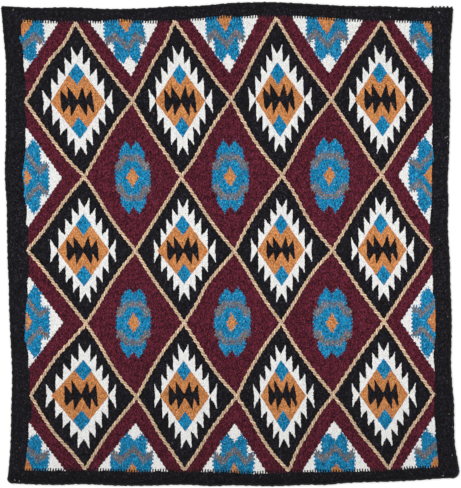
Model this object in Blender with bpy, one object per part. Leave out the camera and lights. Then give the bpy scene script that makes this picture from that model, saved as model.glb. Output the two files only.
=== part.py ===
"""A woven wool saddle blanket, lying flat and face up.

The blanket is a tapestry weave: white warps run from the near end to the far end, and coloured wefts are packed
over them so tightly that the warps don't show. Each colour area is its own block of weft. Tan yarn is wrapped along
the lines between the diamonds, a twisted cord is woven in along all four edges, and each corner is whipped.

Lengths are in metres. X runs along the horse's spine, Y runs from the near end to the far end, and Z is up. The
blanket folds in half along the middle row of diamonds, so every piece belongs to its near half or to its far half.
"""

import math
from collections import namedtuple

import bmesh
import bpy
from mathutils import Vector
from mathutils.geometry import delaunay_2d_cdt

# The whole blanket. Its edges are hand woven and bow in, each by its own depth.
spine_width = 0.892
drop_length = 0.9457
left_bow = 0.0186
right_bow = 0.0234
far_bow = 0.0149
near_bow = 0.0164
corner_radius = 0.012

# How far each edge is bowed in, at equal steps clockwise round the blanket, as shares of that edge's bow.
left_bow_shares = (0.63, 0.87, 1.0, 0.74, 0.5, 0.37, 0.37, 0.37, 0.0)
far_bow_shares = (0.76, 0.92, 1.0, 0.66, 0.2, 0.0, 0.55, 0.8, 0.83)
right_bow_shares = (0.56, 0.82, 0.89, 1.0, 0.96, 0.75, 0.66, 0.48, 0.0)
near_bow_shares = (1.0, 0.52, 0.35, 0.08, 0.0, 0.0, 0.12, 0.17, 0.17)

# The layers, from the floor up.
underside_thickness = 0.0024
warp_thickness = 0.0014
face_thickness = 0.0026
outline_rise = 0.0007
gap = 0.0003

# The black border, from the blanket's bounding sides to the patterned field.
left_border = 0.042
right_border = 0.0395
far_border = 0.028
near_border = 0.0262

# The tan lines between the diamonds, and the cord and whipping of the edges.
outline_width = 0.0065
cord_diameter = 0.005
whipping_yarn = 0.001
whipping_turns = 5
whipping_arc_share = 0.8
points_a_turn = 10

# Half the space left between the two halves of the face when the blanket is folded over on itself.
fold_room = 0.0015
fold_share = 0.4885

# The lattice's corners, row by row from the far end, as shares of the field across and up. Rows that start at the
# border have five corners, and the far and near rows also hold the field's own corners.
lattice_shares = (
    ((0.0, 0.99), (0.125, 0.99), (0.364, 0.99), (0.607, 0.998), (0.86, 0.99), (0.983, 0.989)),
    ((0.004, 0.811), (0.261, 0.813), (0.5, 0.817), (0.741, 0.816), (0.981, 0.818)),
    ((0.145, 0.647), (0.379, 0.645), (0.623, 0.649), (0.861, 0.649)),
    ((0.006, 0.486), (0.268, 0.486), (0.506, 0.489), (0.742, 0.489), (0.982, 0.493)),
    ((0.148, 0.326), (0.385, 0.326), (0.621, 0.327), (0.868, 0.329)),
    ((0.011, 0.171), (0.272, 0.165), (0.514, 0.17), (0.745, 0.169), (0.992, 0.17)),
    ((0.0, 0.004), (0.147, 0.003), (0.388, 0.001), (0.638, 0.002), (0.88, 0.007), (1.0, 0.011)),
)

# The figures woven into the diamonds: half widths and half heights.
burst_half_width = 0.0488
burst_half_height = 0.1045
wing_reach = 0.0635
wing_half_height = 0.0225
eye_half_width = 0.0478
eye_half_height = 0.0742
pupil_half_width = 0.0127
pupil_half_height = 0.0215
pupil_offset = 0.0531
bar_half_width = 0.0312
bar_half_height = 0.0293
medallion_half_width = 0.0344
medallion_half_height = 0.0728
heart_half_width = 0.0115
heart_half_height = 0.0191
edge_medallion_half_width = 0.043
edge_medallion_half_height = 0.08

# One quarter of each figure, from its top to its right side, as shares of its half width and half height.
burst_shares = ((0, 0.83), (0.22, 1), (0.265, 0.67), (0.47, 0.82), (0.475, 0.475), (0.71, 0.63),
                (0.735, 0.29), (0.95, 0.435), (1, 0))
bar_shares = ((0, 0.24), (0.44, 1), (0.56, 0.17), (0.88, 0.73), (1, 0.5), (1, 0))
medallion_shares = ((0, 0.82), (0.31, 1), (0.6, 0.75), (0.75, 0.59), (0.69, 0.415), (1, 0.36), (0.99, 0))
diamond_shares = ((0, 1), (1, 0))

# The white wing at each side of an eye, all round it, as shares of its reach from the eye's middle and of its
# half height.
wing_shares = ((0.75, 0), (0.88, 0.4), (0.95, 1), (0.97, 0.3), (1, 0), (0.97, -0.3), (0.98, -1), (0.89, -0.45))

# Along the border, white fills this share of each cell, and burgundy the rest.
white_share = 0.68

# The grey band of a medallion, its upper arch from the middle of the top round to the middle of its underside.
arch_shares = ((0, 0.64), (0.5, 0.62), (0.8, 0.43), (0.98, 0.38), (0.96, 0.27), (0.67, 0.1), (0.5, 0.25),
               (0.3, 0.42), (0, 0.48))

# Yarn colours as they look in daylight, 0 to 255, with the roughness of wool.
yarn_colours = {
    "black": (28, 28, 32),
    "burgundy": (88, 32, 46),
    "turquoise": (26, 124, 176),
    "orange": (198, 122, 62),
    "tan": (200, 166, 120),
    "white": (232, 230, 226),
    "grey": (112, 112, 120),
    "undyed": (206, 198, 184),
}
wool_roughness = 0.95

# How finely curves are drawn, and the smallest step that tells two points apart.
side_steps = 24
arc_steps = 6
cord_round_steps = 2
yarn_round_steps = 1
slope_share = 0.001
straight_share = 0.0001
settling_rounds = 20
weld_distance = 0.000001

cord_radius = cord_diameter / 2
yarn_radius = whipping_yarn / 2
coil_radius = (cord_radius + gap) / math.cos(math.pi / points_a_turn) + yarn_radius
cord_height = coil_radius + yarn_radius
corner_inset = cord_radius + coil_radius + yarn_radius + gap
woven_inset = cord_diameter + gap

warp_bottom = underside_thickness + gap
face_bottom = warp_bottom + warp_thickness + gap
face_top = face_bottom + face_thickness
outline_top = face_top + outline_rise

field_left = left_border - spine_width / 2
field_right = spine_width / 2 - right_border
field_near = near_border - drop_length / 2
field_far = drop_length / 2 - far_border
fold_line = field_near + fold_share * (field_far - field_near)
fold_height = outline_top + fold_room
far_from = fold_line + gap / 2
near_to = fold_line - gap / 2

Side = namedtuple("Side", "out reach length bow bow_shares")
LEFT, FAR, RIGHT, NEAR = range(4)
sides = (
    Side(Vector((-1, 0)), spine_width / 2, drop_length, left_bow, left_bow_shares),
    Side(Vector((0, 1)), drop_length / 2, spine_width, far_bow, far_bow_shares),
    Side(Vector((1, 0)), spine_width / 2, drop_length, right_bow, right_bow_shares),
    Side(Vector((0, -1)), drop_length / 2, spine_width, near_bow, near_bow_shares),
)


def smooth(shares, place):
    """A smooth curve through evenly spaced shares, read at a place from 0 to 1."""
    place = min(max(place, 0), 1) * (len(shares) - 1)
    first = min(int(place), len(shares) - 2)
    part = place - first
    a, b, c, d = (shares[min(max(first + k, 0), len(shares) - 1)] for k in (-1, 0, 1, 2))
    return b + part * ((c - a) + part * ((2 * a - 5 * b + 4 * c - d) + part * (3 * b - a - 3 * c + d))) / 2


def run(side):
    """The direction along a side, clockwise round the blanket."""
    return Vector((side.out.y, -side.out.x))


def beside(side, along, inset):
    """The point this far along a side from its middle, moved in square to the bowed edge."""

    def reach(place):
        return side.reach - side.bow * smooth(side.bow_shares, place / side.length + 1 / 2)

    step = side.length * slope_share
    slope = (reach(along - step) - reach(along + step)) / (2 * step)
    inward = -(side.out + run(side) * slope).normalized()
    return side.out * reach(along) + run(side) * along + inward * inset


def corner(number):
    """How far along a side and along the next one the rounded corner between them starts and ends."""
    first, second = sides[number], sides[(number + 1) % 4]
    stop = first.length / 2 - corner_radius
    start = corner_radius - second.length / 2
    for _ in range(settling_rounds):
        apart = beside(second, start, corner_radius) - beside(first, stop, corner_radius)
        stop += apart.dot(run(first))
        start -= apart.dot(run(second))
    return stop, start


corners = [corner(number) for number in range(4)]


def corner_arc(number, inset):
    """A rounded corner's centre, its radius at this inset, and the angles where it starts and ends."""
    stop, start = corners[number]
    first, second = sides[number], sides[(number + 1) % 4]
    centre = beside(first, stop, corner_radius)
    opens = beside(first, stop, 0) - centre
    closes = beside(second, start, 0) - centre
    angle = math.atan2(opens.y, opens.x)
    return centre, corner_radius - inset, angle, angle - opens.angle(closes)


def on_arc(arc, share, extra=0):
    """A point on a corner's arc, from its start at 0 to its end at 1, and the direction out of the corner."""
    centre, radius, opens, closes = arc
    angle = opens + share * (closes - opens)
    out = Vector((math.cos(angle), math.sin(angle)))
    return centre + out * (radius + extra), out


def along_edge(start, end, inset, arc_inset):
    """Points beside the blanket's edge, clockwise from a place on one side to a place on the same or a later side."""
    number, along = start
    points = []
    while True:
        side = sides[number]
        last = number == end[0]
        stop = end[1] if last else corners[number][0]
        steps = max(1, round(side_steps * (stop - along) / side.length))
        piece = [beside(side, along + (stop - along) * k / steps, inset) for k in range(steps + 1)]
        if not points:
            piece[0] += run(side) * (along - piece[0].dot(run(side)))
        if last:
            piece[-1] += run(side) * (stop - piece[-1].dot(run(side)))
            return points + piece
        points += piece
        arc = corner_arc(number, arc_inset)
        ends = 1 if arc_inset == inset else 0
        points += [on_arc(arc, k / arc_steps)[0] for k in range(ends, arc_steps + 1 - ends)]
        along = corners[number][1]
        number = (number + 1) % 4


def inset_polygon(points, insets):
    """A clockwise polygon with each side moved in by its own distance. Side k runs from point k to the next."""
    count = len(points)
    lines = []
    for k, distance in enumerate(insets):
        along = (points[(k + 1) % count] - points[k]).normalized()
        inward = Vector((along.y, -along.x))
        lines.append((points[k] + inward * distance, along))
    moved = []
    for k in range(count):
        (a, before), (b, after) = lines[k - 1], lines[k]
        turn = before.cross(after)
        moved.append(b if abs(turn) < straight_share else b + after * (before.cross(a - b) / turn))
    return moved


def keep_side(points, line, sign):
    """The part of a polygon on the far side (sign 1) or near side (sign -1) of a line along X."""
    kept = []
    for k, b in enumerate(points):
        a = points[k - 1]
        if (a.y - line) * (b.y - line) < 0:
            kept.append(a.lerp(b, (line - a.y) / (b.y - a.y)))
        if (b.y - line) * sign >= 0:
            kept.append(b)
    return kept


def inside(point, polygon):
    """Whether a point is inside a polygon."""
    crossed = False
    for k, b in enumerate(polygon):
        a = polygon[k - 1]
        if (a.y > point.y) != (b.y > point.y):
            crossed ^= point.x < a.x + (b.x - a.x) * (point.y - a.y) / (b.y - a.y)
    return crossed


def figure(centre, half_width, half_height, quarter):
    """A whole figure from one quarter of its outline, mirrored both ways about its centre."""
    right = list(quarter) + [(x, -y) for x, y in quarter[-2::-1]]
    left = [(-x, y) for x, y in right[::-1]]
    shares = right + [share for share in left if share[0] != 0]
    return [centre + Vector((x * half_width, y * half_height)) for x, y in shares]


def arch(centre, half_width, half_height, sign):
    """The upper (sign 1) or lower (sign -1) arch of a medallion's grey band."""
    shares = list(arch_shares) + [(-x, y) for x, y in arch_shares[-2:0:-1]]
    return [centre + Vector((x * half_width, sign * y * half_height)) for x, y in shares]


def middle_of(points):
    """The average of some points."""
    return sum(points, Vector((0, 0))) / len(points)


def daylight(red, green, blue):
    """A colour in the linear values that a shader reads, from one as it looks, 0 to 255."""
    shares = (value / 255 for value in (red, green, blue))
    return [*(s / 12.92 if s < 0.04 else ((s + 0.055) / 1.055) ** 2.4 for s in shares), 1]


for leftover in list(bpy.data.objects):
    bpy.data.objects.remove(leftover, do_unlink=True)

wool = {}
for yarn, shade in yarn_colours.items():
    wool[yarn] = bpy.data.materials.new(f"{yarn} wool")
    wool[yarn].use_nodes = True
    skin = wool[yarn].node_tree.nodes["Principled BSDF"]
    skin.inputs["Base Color"].default_value = daylight(*shade)
    skin.inputs["Roughness"].default_value = wool_roughness
    skin.inputs["Metallic"].default_value = 0


def half(name, place):
    """An empty that carries one half of the blanket. The far half's lies on the fold's axis."""
    empty = bpy.data.objects.new(name, None)
    empty.location = place
    bpy.context.collection.objects.link(empty)
    return empty


near_half = half("near_half", Vector((0, 0, 0)))
far_half = half("far_half", Vector((0, fold_line, fold_height)))


def put(name, data, parent, place):
    """Adds a piece to one half of the blanket, its origin at this place."""
    piece = bpy.data.objects.new(name, data)
    piece.parent = parent
    piece.location = place - parent.location
    bpy.context.collection.objects.link(piece)
    return piece


def woven_block(name, parent, outline, bottom, top, yarn, cuts=(), patches=()):
    """A flat block of weaving. Cuts go right through it, and patches colour its upper face, the last one on top."""
    points, edges = [], []
    for loop in (outline, *cuts, *(patch for patch, _ in patches)):
        first = len(points)
        points += loop
        edges += [(first + k, first + (k + 1) % len(loop)) for k in range(len(loop))]
    points, _, triangles, *_ = delaunay_2d_cdt(points, edges, [], 0, weld_distance)
    middle = middle_of(outline)
    place = Vector((*middle, bottom))
    yarns = [yarn] + [y for y in dict.fromkeys(y for _, y in patches) if y != yarn]
    sheet = bmesh.new()
    floor = {}
    for triangle in triangles:
        centre = middle_of([points[k] for k in triangle])
        if not inside(centre, outline) or any(inside(centre, cut) for cut in cuts):
            continue
        for k in triangle:
            if k not in floor:
                floor[k] = sheet.verts.new((*(points[k] - middle), 0))
        face = sheet.faces.new([floor[k] for k in triangle])
        shades = [yarn] + [y for patch, y in patches if inside(centre, patch)]
        face.material_index = yarns.index(shades[-1])
    under = sheet.faces[:]
    raised = bmesh.ops.extrude_face_region(sheet, geom=under, use_keep_orig=True)["geom"]
    for vertex in (part for part in raised if isinstance(part, bmesh.types.BMVert)):
        vertex.co.z = top - bottom
    if not cuts:
        bmesh.ops.dissolve_faces(sheet, faces=under)
    bmesh.ops.recalc_face_normals(sheet, faces=sheet.faces)
    mesh = bpy.data.meshes.new(name)
    sheet.to_mesh(mesh)
    sheet.free()
    for shade in yarns:
        mesh.materials.append(wool[shade])
    return put(name, mesh, parent, place)


def tube(name, parent, points, thickness, rounding, yarn):
    """A round yarn or cord through these points, with flat ends."""
    curve = bpy.data.curves.new(name, "CURVE")
    curve.dimensions = "3D"
    curve.bevel_depth = thickness / 2
    curve.bevel_resolution = rounding
    curve.use_fill_caps = True
    place = sum(points, Vector((0, 0, 0))) / len(points)
    line = curve.splines.new("POLY")
    line.points.add(len(points) - 1)
    for knot, point in zip(line.points, points):
        knot.co = (*(point - place), 1)
    curve.materials.append(wool[yarn])
    return put(name, curve, parent, place)


def halved(name, outline, bottom, top, yarn, patches=()):
    """A block that crosses the fold, made as one block on each half of the blanket."""
    for word, parent, line, sign in (("far", far_half, far_from, 1), ("near", near_half, near_to, -1)):
        stem, number = name.rsplit("_", 1)
        woven_block(f"{stem}_{word}_{number}", parent, keep_side(outline, line, sign), bottom, top, yarn,
                    patches=patches)


# The lattice's corners on the blanket. Each row keeps only the corners where lines meet; the field's own four
# corners are kept apart.
rows = [[Vector((field_left + x * (field_right - field_left), field_near + y * (field_far - field_near)))
         for x, y in row] for row in lattice_shares]
field_corners = (rows[0][0], rows[0][-1], rows[6][-1], rows[6][0])
far_left, far_right, near_right, near_left = field_corners
rows[0], rows[6] = rows[0][1:-1], rows[6][1:-1]
field = [far_left, *rows[0], far_right, rows[1][-1], rows[3][-1], rows[5][-1],
         near_right, *rows[6][::-1], near_left, rows[5][0], rows[3][0], rows[1][0]]

# Each cell of the lattice: its corners clockwise, and for each side whether it lies on the border.
eye_cells = {"far": [], "middle": [], "near": []}
for word, v in (("far", 1), ("middle", 3), ("near", 5)):
    for k in range(4):
        eye_cells[word].append(([rows[v - 1][k], rows[v][k + 1], rows[v + 1][k], rows[v][k]], (0, 0, 0, 0)))
medallion_cells = {word: [([rows[v - 1][k + 1], rows[v][k + 1], rows[v + 1][k + 1], rows[v][k]], (0, 0, 0, 0))
                          for k in range(3)] for word, v in (("far", 2), ("near", 4))}
end_cells = {
    "far": [([rows[0][k], rows[0][k + 1], rows[1][k + 1]], (1, 0, 0)) for k in range(3)],
    "near": [([rows[5][k + 1], rows[6][k + 1], rows[6][k]], (0, 1, 0)) for k in range(3)],
}
side_cells = {
    ("left", "far"): ([rows[1][0], rows[2][0], rows[3][0]], (0, 0, 1)),
    ("left", "near"): ([rows[3][0], rows[4][0], rows[5][0]], (0, 0, 1)),
    ("right", "far"): ([rows[1][-1], rows[3][-1], rows[2][-1]], (1, 0, 0)),
    ("right", "near"): ([rows[3][-1], rows[5][-1], rows[4][-1]], (1, 0, 0)),
}
corner_cells = {
    ("left", "far"): ([far_left, rows[0][0], rows[1][0]], (1, 0, 1)),
    ("right", "far"): ([far_right, rows[1][-1], rows[0][-1]], (1, 0, 1)),
    ("right", "near"): ([near_right, rows[6][-1], rows[5][-1]], (1, 0, 1)),
    ("left", "near"): ([near_left, rows[5][0], rows[6][0]], (1, 0, 1)),
}


def block_outline(cell):
    """A cell's block: clear of the tan lines and of the border."""
    points, bordered = cell
    return inset_polygon(points, [gap if edge else outline_width / 2 + gap for edge in bordered])


def cell_cut(cell):
    """A cell's hole in the net of tan lines. At the border it runs past the net."""
    points, bordered = cell
    return inset_polygon(points, [-outline_width if edge else outline_width / 2 for edge in bordered])


def eye_patches(centre):
    """The white burst, orange eye, turquoise pupils and black spiked bar of an eye diamond."""
    pupils = [centre + Vector((0, sign * pupil_offset)) for sign in (1, -1)]
    wings = [[centre + Vector((sign * x * wing_reach, y * wing_half_height)) for x, y in wing_shares]
             for sign in (1, -1)]
    return [(figure(centre, burst_half_width, burst_half_height, burst_shares), "white"),
            *((wing, "white") for wing in wings),
            (figure(centre, eye_half_width, eye_half_height, diamond_shares), "orange"),
            *((figure(pupil, pupil_half_width, pupil_half_height, diamond_shares), "turquoise") for pupil in pupils),
            (figure(centre, bar_half_width, bar_half_height, bar_shares), "black")]


def medallion_patches(centre, half_width, half_height):
    """A turquoise medallion with its two grey arches and its orange heart."""
    return [(figure(centre, half_width, half_height, medallion_shares), "turquoise"),
            *((arch(centre, half_width, half_height, sign), "grey") for sign in (1, -1)),
            (figure(centre, heart_half_width, heart_half_height, diamond_shares), "orange")]


def edge_patches(root, cell):
    """The white part and the larger medallion of a cell along the border, which cuts them off at their root."""
    return [([root.lerp(point, white_share) for point in cell[0]], "white"),
            *medallion_patches(root, edge_medallion_half_width, edge_medallion_half_height)]


# The face of the blanket: a block of weft for each diamond, triangle and corner of the lattice.
for word, parent in (("far", far_half), ("near", near_half)):
    for k, cell in enumerate(eye_cells[word]):
        woven_block(f"eye_diamond_{word}_{k + 1}", parent, block_outline(cell), face_bottom, face_top, "black",
                    patches=eye_patches(middle_of(cell[0])))
    for k, cell in enumerate(medallion_cells[word]):
        woven_block(f"medallion_diamond_{word}_{k + 1}", parent, block_outline(cell), face_bottom, face_top,
                    "burgundy", patches=medallion_patches(middle_of(cell[0]), medallion_half_width,
                                                          medallion_half_height))
    for k, cell in enumerate(end_cells[word]):
        on_border = [cell[0][0], cell[0][1]] if word == "far" else [cell[0][1], cell[0][2]]
        woven_block(f"end_triangle_{word}_{k + 1}", parent, block_outline(cell), face_bottom, face_top, "burgundy",
                    patches=edge_patches(middle_of(on_border), cell))
    for hand in ("left", "right"):
        cell = side_cells[hand, word]
        on_border = [cell[0][0], cell[0][2]] if hand == "left" else [cell[0][0], cell[0][1]]
        woven_block(f"side_triangle_{hand}_{word}", parent, block_outline(cell), face_bottom, face_top, "burgundy",
                    patches=edge_patches(middle_of(on_border), cell))
        cell = corner_cells[hand, word]
        woven_block(f"corner_triangle_{hand}_{word}", parent, block_outline(cell), face_bottom, face_top,
                    "burgundy", patches=edge_patches(cell[0][0], cell))
for k, cell in enumerate(eye_cells["middle"]):
    halved(f"eye_diamond_middle_{k + 1}", block_outline(cell), face_bottom, face_top, "black",
           patches=eye_patches(middle_of(cell[0])))

# The tan outlines stand a little above the blocks, in one net for each half.
every_cell = [cell for group in (eye_cells, medallion_cells, end_cells) for cells in group.values() for cell in cells]
every_cell += [*side_cells.values(), *corner_cells.values()]
net = inset_polygon(field, [gap] * len(field))
for word, parent, line, sign in (("far", far_half, far_from, 1), ("near", near_half, near_to, -1)):
    woven_block(f"outline_net_{word}", parent, keep_side(net, line, sign), face_bottom, outline_top, "tan",
                cuts=[cell_cut(cell) for cell in every_cell])

# The border: an end piece across each end with its two corners, and side pieces from there to the fold.
woven_block("end_border_far", far_half,
            along_edge((LEFT, far_left.y), (RIGHT, -far_right.y), woven_inset, corner_inset)
            + [far_right, *rows[0][::-1], far_left], face_bottom, face_top, "black")
woven_block("end_border_near", near_half,
            along_edge((RIGHT, -near_right.y), (LEFT, near_left.y), woven_inset, corner_inset)
            + [near_left, *rows[6], near_right], face_bottom, face_top, "black")


def side_border(name, parent, number, from_y, to_y, inner):
    """A side piece of the border between two places, with its inner edge on the field's own edge."""
    sign = 1 if number == LEFT else -1
    start, end = sorted((sign * from_y, sign * to_y))
    low, high = sorted((from_y, to_y))
    ends = [place_on(inner, low), *(point for point in inner if low < point.y < high), place_on(inner, high)]
    outer = along_edge((number, start), (number, end), woven_inset, corner_inset)
    woven_block(name, parent, outer + (ends[::-1] if number == LEFT else ends), face_bottom, face_top, "black")


def place_on(line, y):
    """The point of an upward line at this height along Y."""
    for a, b in zip(line, line[1:]):
        if a.y <= y <= b.y:
            return a.lerp(b, (y - a.y) / (b.y - a.y))
    return line[-1] if y > line[-1].y else line[0]


left_inner = [near_left, rows[5][0], rows[3][0], rows[1][0], far_left]
right_inner = [near_right, rows[5][-1], rows[3][-1], rows[1][-1], far_right]
side_border("side_border_left_far", far_half, LEFT, far_from, far_left.y - gap, left_inner)
side_border("side_border_right_far", far_half, RIGHT, far_from, far_right.y - gap, right_inner)
side_border("side_border_left_near", near_half, LEFT, near_left.y + gap, near_to, left_inner)
side_border("side_border_right_near", near_half, RIGHT, near_right.y + gap, near_to, right_inner)

# Under the face: the warps, lying side by side so closely that they are one sheet here, and the underside's weft.
half_edges = (
    ("far", far_half, (LEFT, far_from), (RIGHT, -far_from)),
    ("near", near_half, (RIGHT, -near_to), (LEFT, near_to)),
)
for word, parent, start, end in half_edges:
    outline = along_edge(start, end, woven_inset, corner_inset)
    woven_block(f"warp_sheet_{word}", parent, outline, warp_bottom, warp_bottom + warp_thickness, "undyed")
    woven_block(f"underside_weft_{word}", parent, outline, 0, underside_thickness, "black")


def lifted(points, height):
    """Points of the plan at one height."""
    return [Vector((*point, height)) for point in points]


# The edge cord: one length across each end and round its corners, and one along each half of a side.
for word, parent, start, end in (("far", far_half, (LEFT, corners[LEFT][0]), (RIGHT, corners[FAR][1])),
                                 ("near", near_half, (RIGHT, corners[RIGHT][0]), (LEFT, corners[NEAR][1]))):
    tube(f"end_cord_{word}", parent, lifted(along_edge(start, end, cord_radius, cord_radius), cord_height),
         cord_diameter, cord_round_steps, "black")
for name, parent, number, start, end in (
        ("side_cord_left_far", far_half, LEFT, far_from, corners[LEFT][0] - gap),
        ("side_cord_left_near", near_half, LEFT, corners[NEAR][1] + gap, near_to),
        ("side_cord_right_far", far_half, RIGHT, corners[FAR][1] + gap, -far_from),
        ("side_cord_right_near", near_half, RIGHT, -near_to, corners[RIGHT][0] - gap)):
    tube(name, parent, lifted(along_edge((number, start), (number, end), cord_radius, cord_radius), cord_height),
         cord_diameter, cord_round_steps, "black")


def whipping(number):
    """The points of a yarn wound round the cord on a rounded corner."""
    arc = corner_arc(number, cord_radius)
    points = []
    for k in range(whipping_turns * points_a_turn + 1):
        share = k / (whipping_turns * points_a_turn)
        turn = 2 * math.pi * whipping_turns * share
        spot, _ = on_arc(arc, 1 / 2 + (share - 1 / 2) * whipping_arc_share, coil_radius * math.cos(turn))
        points.append(Vector((*spot, cord_height + coil_radius * math.sin(turn))))
    return points


for name, parent, number in (("corner_whipping_left_far", far_half, LEFT), ("corner_whipping_right_far", far_half, FAR),
                             ("corner_whipping_right_near", near_half, RIGHT),
                             ("corner_whipping_left_near", near_half, NEAR)):
    coil = whipping(number)
    tube(name, parent, coil, whipping_yarn, yarn_round_steps, "black")
    apart = min((a - b).length for k, a in enumerate(coil) for b in coil[k + points_a_turn // 2:])
    print(f"{name}: {whipping_turns} turns, least gap to itself {(apart - whipping_yarn) * 1000:.2f} mm")

# The blanket lies centred on the origin.
bpy.context.view_layer.update()
depsgraph = bpy.context.evaluated_depsgraph_get()
low, high = Vector((math.inf,) * 3), Vector((-math.inf,) * 3)
for piece in bpy.data.objects:
    if piece.type == "EMPTY":
        continue
    solid = piece.evaluated_get(depsgraph).to_mesh()
    for vertex in solid.vertices:
        spot = piece.matrix_world @ vertex.co
        low = Vector(map(min, low, spot))
        high = Vector(map(max, high, spot))
centre = Vector(((low.x + high.x) / 2, (low.y + high.y) / 2, low.z))
for empty in (near_half, far_half):
    empty.location -= centre
size = high - low
print(f"blanket {size.x:.4f} x {size.y:.4f} x {size.z:.4f} m, fold axis at y {far_half.location.y:.5f}, "
      f"z {far_half.location.z:.5f} m")
print(f"woven field {field_right - field_left:.4f} x {field_far - field_near:.4f} m")
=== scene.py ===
# %% [markdown]
# # A woven wool saddle blanket
#
# This lesson dresses a saddle blanket that lies flat and face up. The real one is a tapestry weave: strong warps run
# from the near end to the far end, and coloured wool wefts are packed over them so tightly that only the wefts show.
# Every colour change is made by turning back one weft and starting another, so the pattern goes right through the
# cloth and the underside is like the face. A two-strand tan cord outlines the diamonds, a three-strand cord edges
# the cloth, and each corner is whipped with yarn.
#
# The solid model holds the sizes and the fold. It is loaded first and never changed.

# %% Load the solid model
import math

import bpy
import numpy as np
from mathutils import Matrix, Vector


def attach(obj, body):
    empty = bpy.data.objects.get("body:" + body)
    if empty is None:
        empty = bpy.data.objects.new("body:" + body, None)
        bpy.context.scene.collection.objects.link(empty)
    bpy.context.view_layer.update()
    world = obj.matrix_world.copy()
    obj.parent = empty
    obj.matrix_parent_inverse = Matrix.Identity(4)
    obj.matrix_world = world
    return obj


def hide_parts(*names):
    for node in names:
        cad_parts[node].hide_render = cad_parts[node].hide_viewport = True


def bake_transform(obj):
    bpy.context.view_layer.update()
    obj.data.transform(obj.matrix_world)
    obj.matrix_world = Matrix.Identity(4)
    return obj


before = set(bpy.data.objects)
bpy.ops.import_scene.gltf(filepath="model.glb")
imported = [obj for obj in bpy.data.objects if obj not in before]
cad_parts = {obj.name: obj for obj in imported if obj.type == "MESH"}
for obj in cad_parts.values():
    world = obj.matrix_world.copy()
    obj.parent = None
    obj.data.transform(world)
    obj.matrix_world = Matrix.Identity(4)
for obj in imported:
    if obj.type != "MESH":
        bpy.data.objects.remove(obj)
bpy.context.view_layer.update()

# %% [markdown]
# ## Camera, floor and light
#
# The blanket is seen from straight above, so the camera looks down with a long lens, which keeps the far and near
# edges square. The floor is a plain pale sheet. A wide, soft sun from the upper left makes the ribs of the weave
# show, and an even sky fills the shadows. Together they give a flat pale surface its own colour, no more: a sky of
# strength s adds s, and a sun of strength s at height angle h adds s * sin(h) / pi.

# %% Camera
view_height = 0.953  # how much of the floor fits in the picture, up and down
view_middle = (-0.0002, -0.0016)
face_height = 0.006
lens = 85
sensor = 36


def add_object(name, data):
    """A new object in the scene, at the origin."""
    made = bpy.data.objects.new(name, data)
    bpy.context.collection.objects.link(made)
    return made


looking_down = bpy.data.cameras.new("looking_down")
looking_down.lens = lens
looking_down.sensor_width = sensor
camera = add_object("camera", looking_down)
camera.location = (*view_middle, face_height + view_height * lens / sensor)
bpy.context.scene.camera = camera
print("the camera hangs", round(camera.location.z, 3), "m above the floor")

# %% Sky and sun
sky_strength = 0.64
sun_strength = 1.39
sun_width = 38  # degrees, so that its shadows are soft
sun_from = Vector((-0.36, 0.32, 1.05))

bpy.context.scene.view_settings.view_transform = "Standard"

sky = bpy.data.worlds.new("studio")
sky.use_nodes = True
sky.node_tree.nodes["Background"].inputs["Color"].default_value = (1, 1, 1, 1)
sky.node_tree.nodes["Background"].inputs["Strength"].default_value = sky_strength
bpy.context.scene.world = sky

soft_sun = bpy.data.lights.new("soft_sun", "SUN")
soft_sun.energy = sun_strength
soft_sun.angle = math.radians(sun_width)
add_object("soft_sun", soft_sun).rotation_euler = sun_from.to_track_quat("Z", "Y").to_euler()
level = sky_strength + sun_strength * sun_from.normalized().z / math.pi
print("light level on a flat surface:", round(level, 3))

# %% Floor
floor_reach = 6
floor_gap = 0.0004  # keeps the floor clear of the lowest wool

floor_mesh = bpy.data.meshes.new("floor")
floor_mesh.from_pydata([(x * floor_reach, y * floor_reach, 0) for x, y in ((-1, -1), (1, -1), (1, 1), (-1, 1))],
                       [], [(0, 1, 2, 3)])
floor = add_object("floor", floor_mesh)
floor.location.z = -floor_gap
print("the floor is", 2 * floor_reach, "m wide")

# %% [markdown]
# ## A short way to write node trees
#
# Both materials and geometry trees are plans made of nodes and wires. A wire here is a small wrapper round one
# socket. Adding or multiplying wires adds Math nodes, so a formula in a tree reads as it would on paper. Any other
# node comes from one call that takes its type, its settings and its inputs.

# %% Wires
class Wire:
    """A number that flows through a tree of nodes."""

    def __init__(self, plan, socket):
        self.plan, self.socket = plan, socket

    def out(self, name):
        """Another output of the node that this wire comes from."""
        return Wire(self.plan, self.socket.node.outputs[name])


def sign(operation, turned=False):
    """What a sign between two wires does, or its reflected form, for a plain number before a wire."""
    return lambda wire, other: wire.plan.maths(operation, *((other, wire) if turned else (wire, other)))


signs = {"add": "ADD", "sub": "SUBTRACT", "mul": "MULTIPLY", "truediv": "DIVIDE", "mod": "FLOORED_MODULO"}
for word, operation in signs.items():
    setattr(Wire, f"__{word}__", sign(operation))
    setattr(Wire, f"__r{word}__", sign(operation, turned=True))
print("wires take the signs for", ", ".join(signs))


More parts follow.
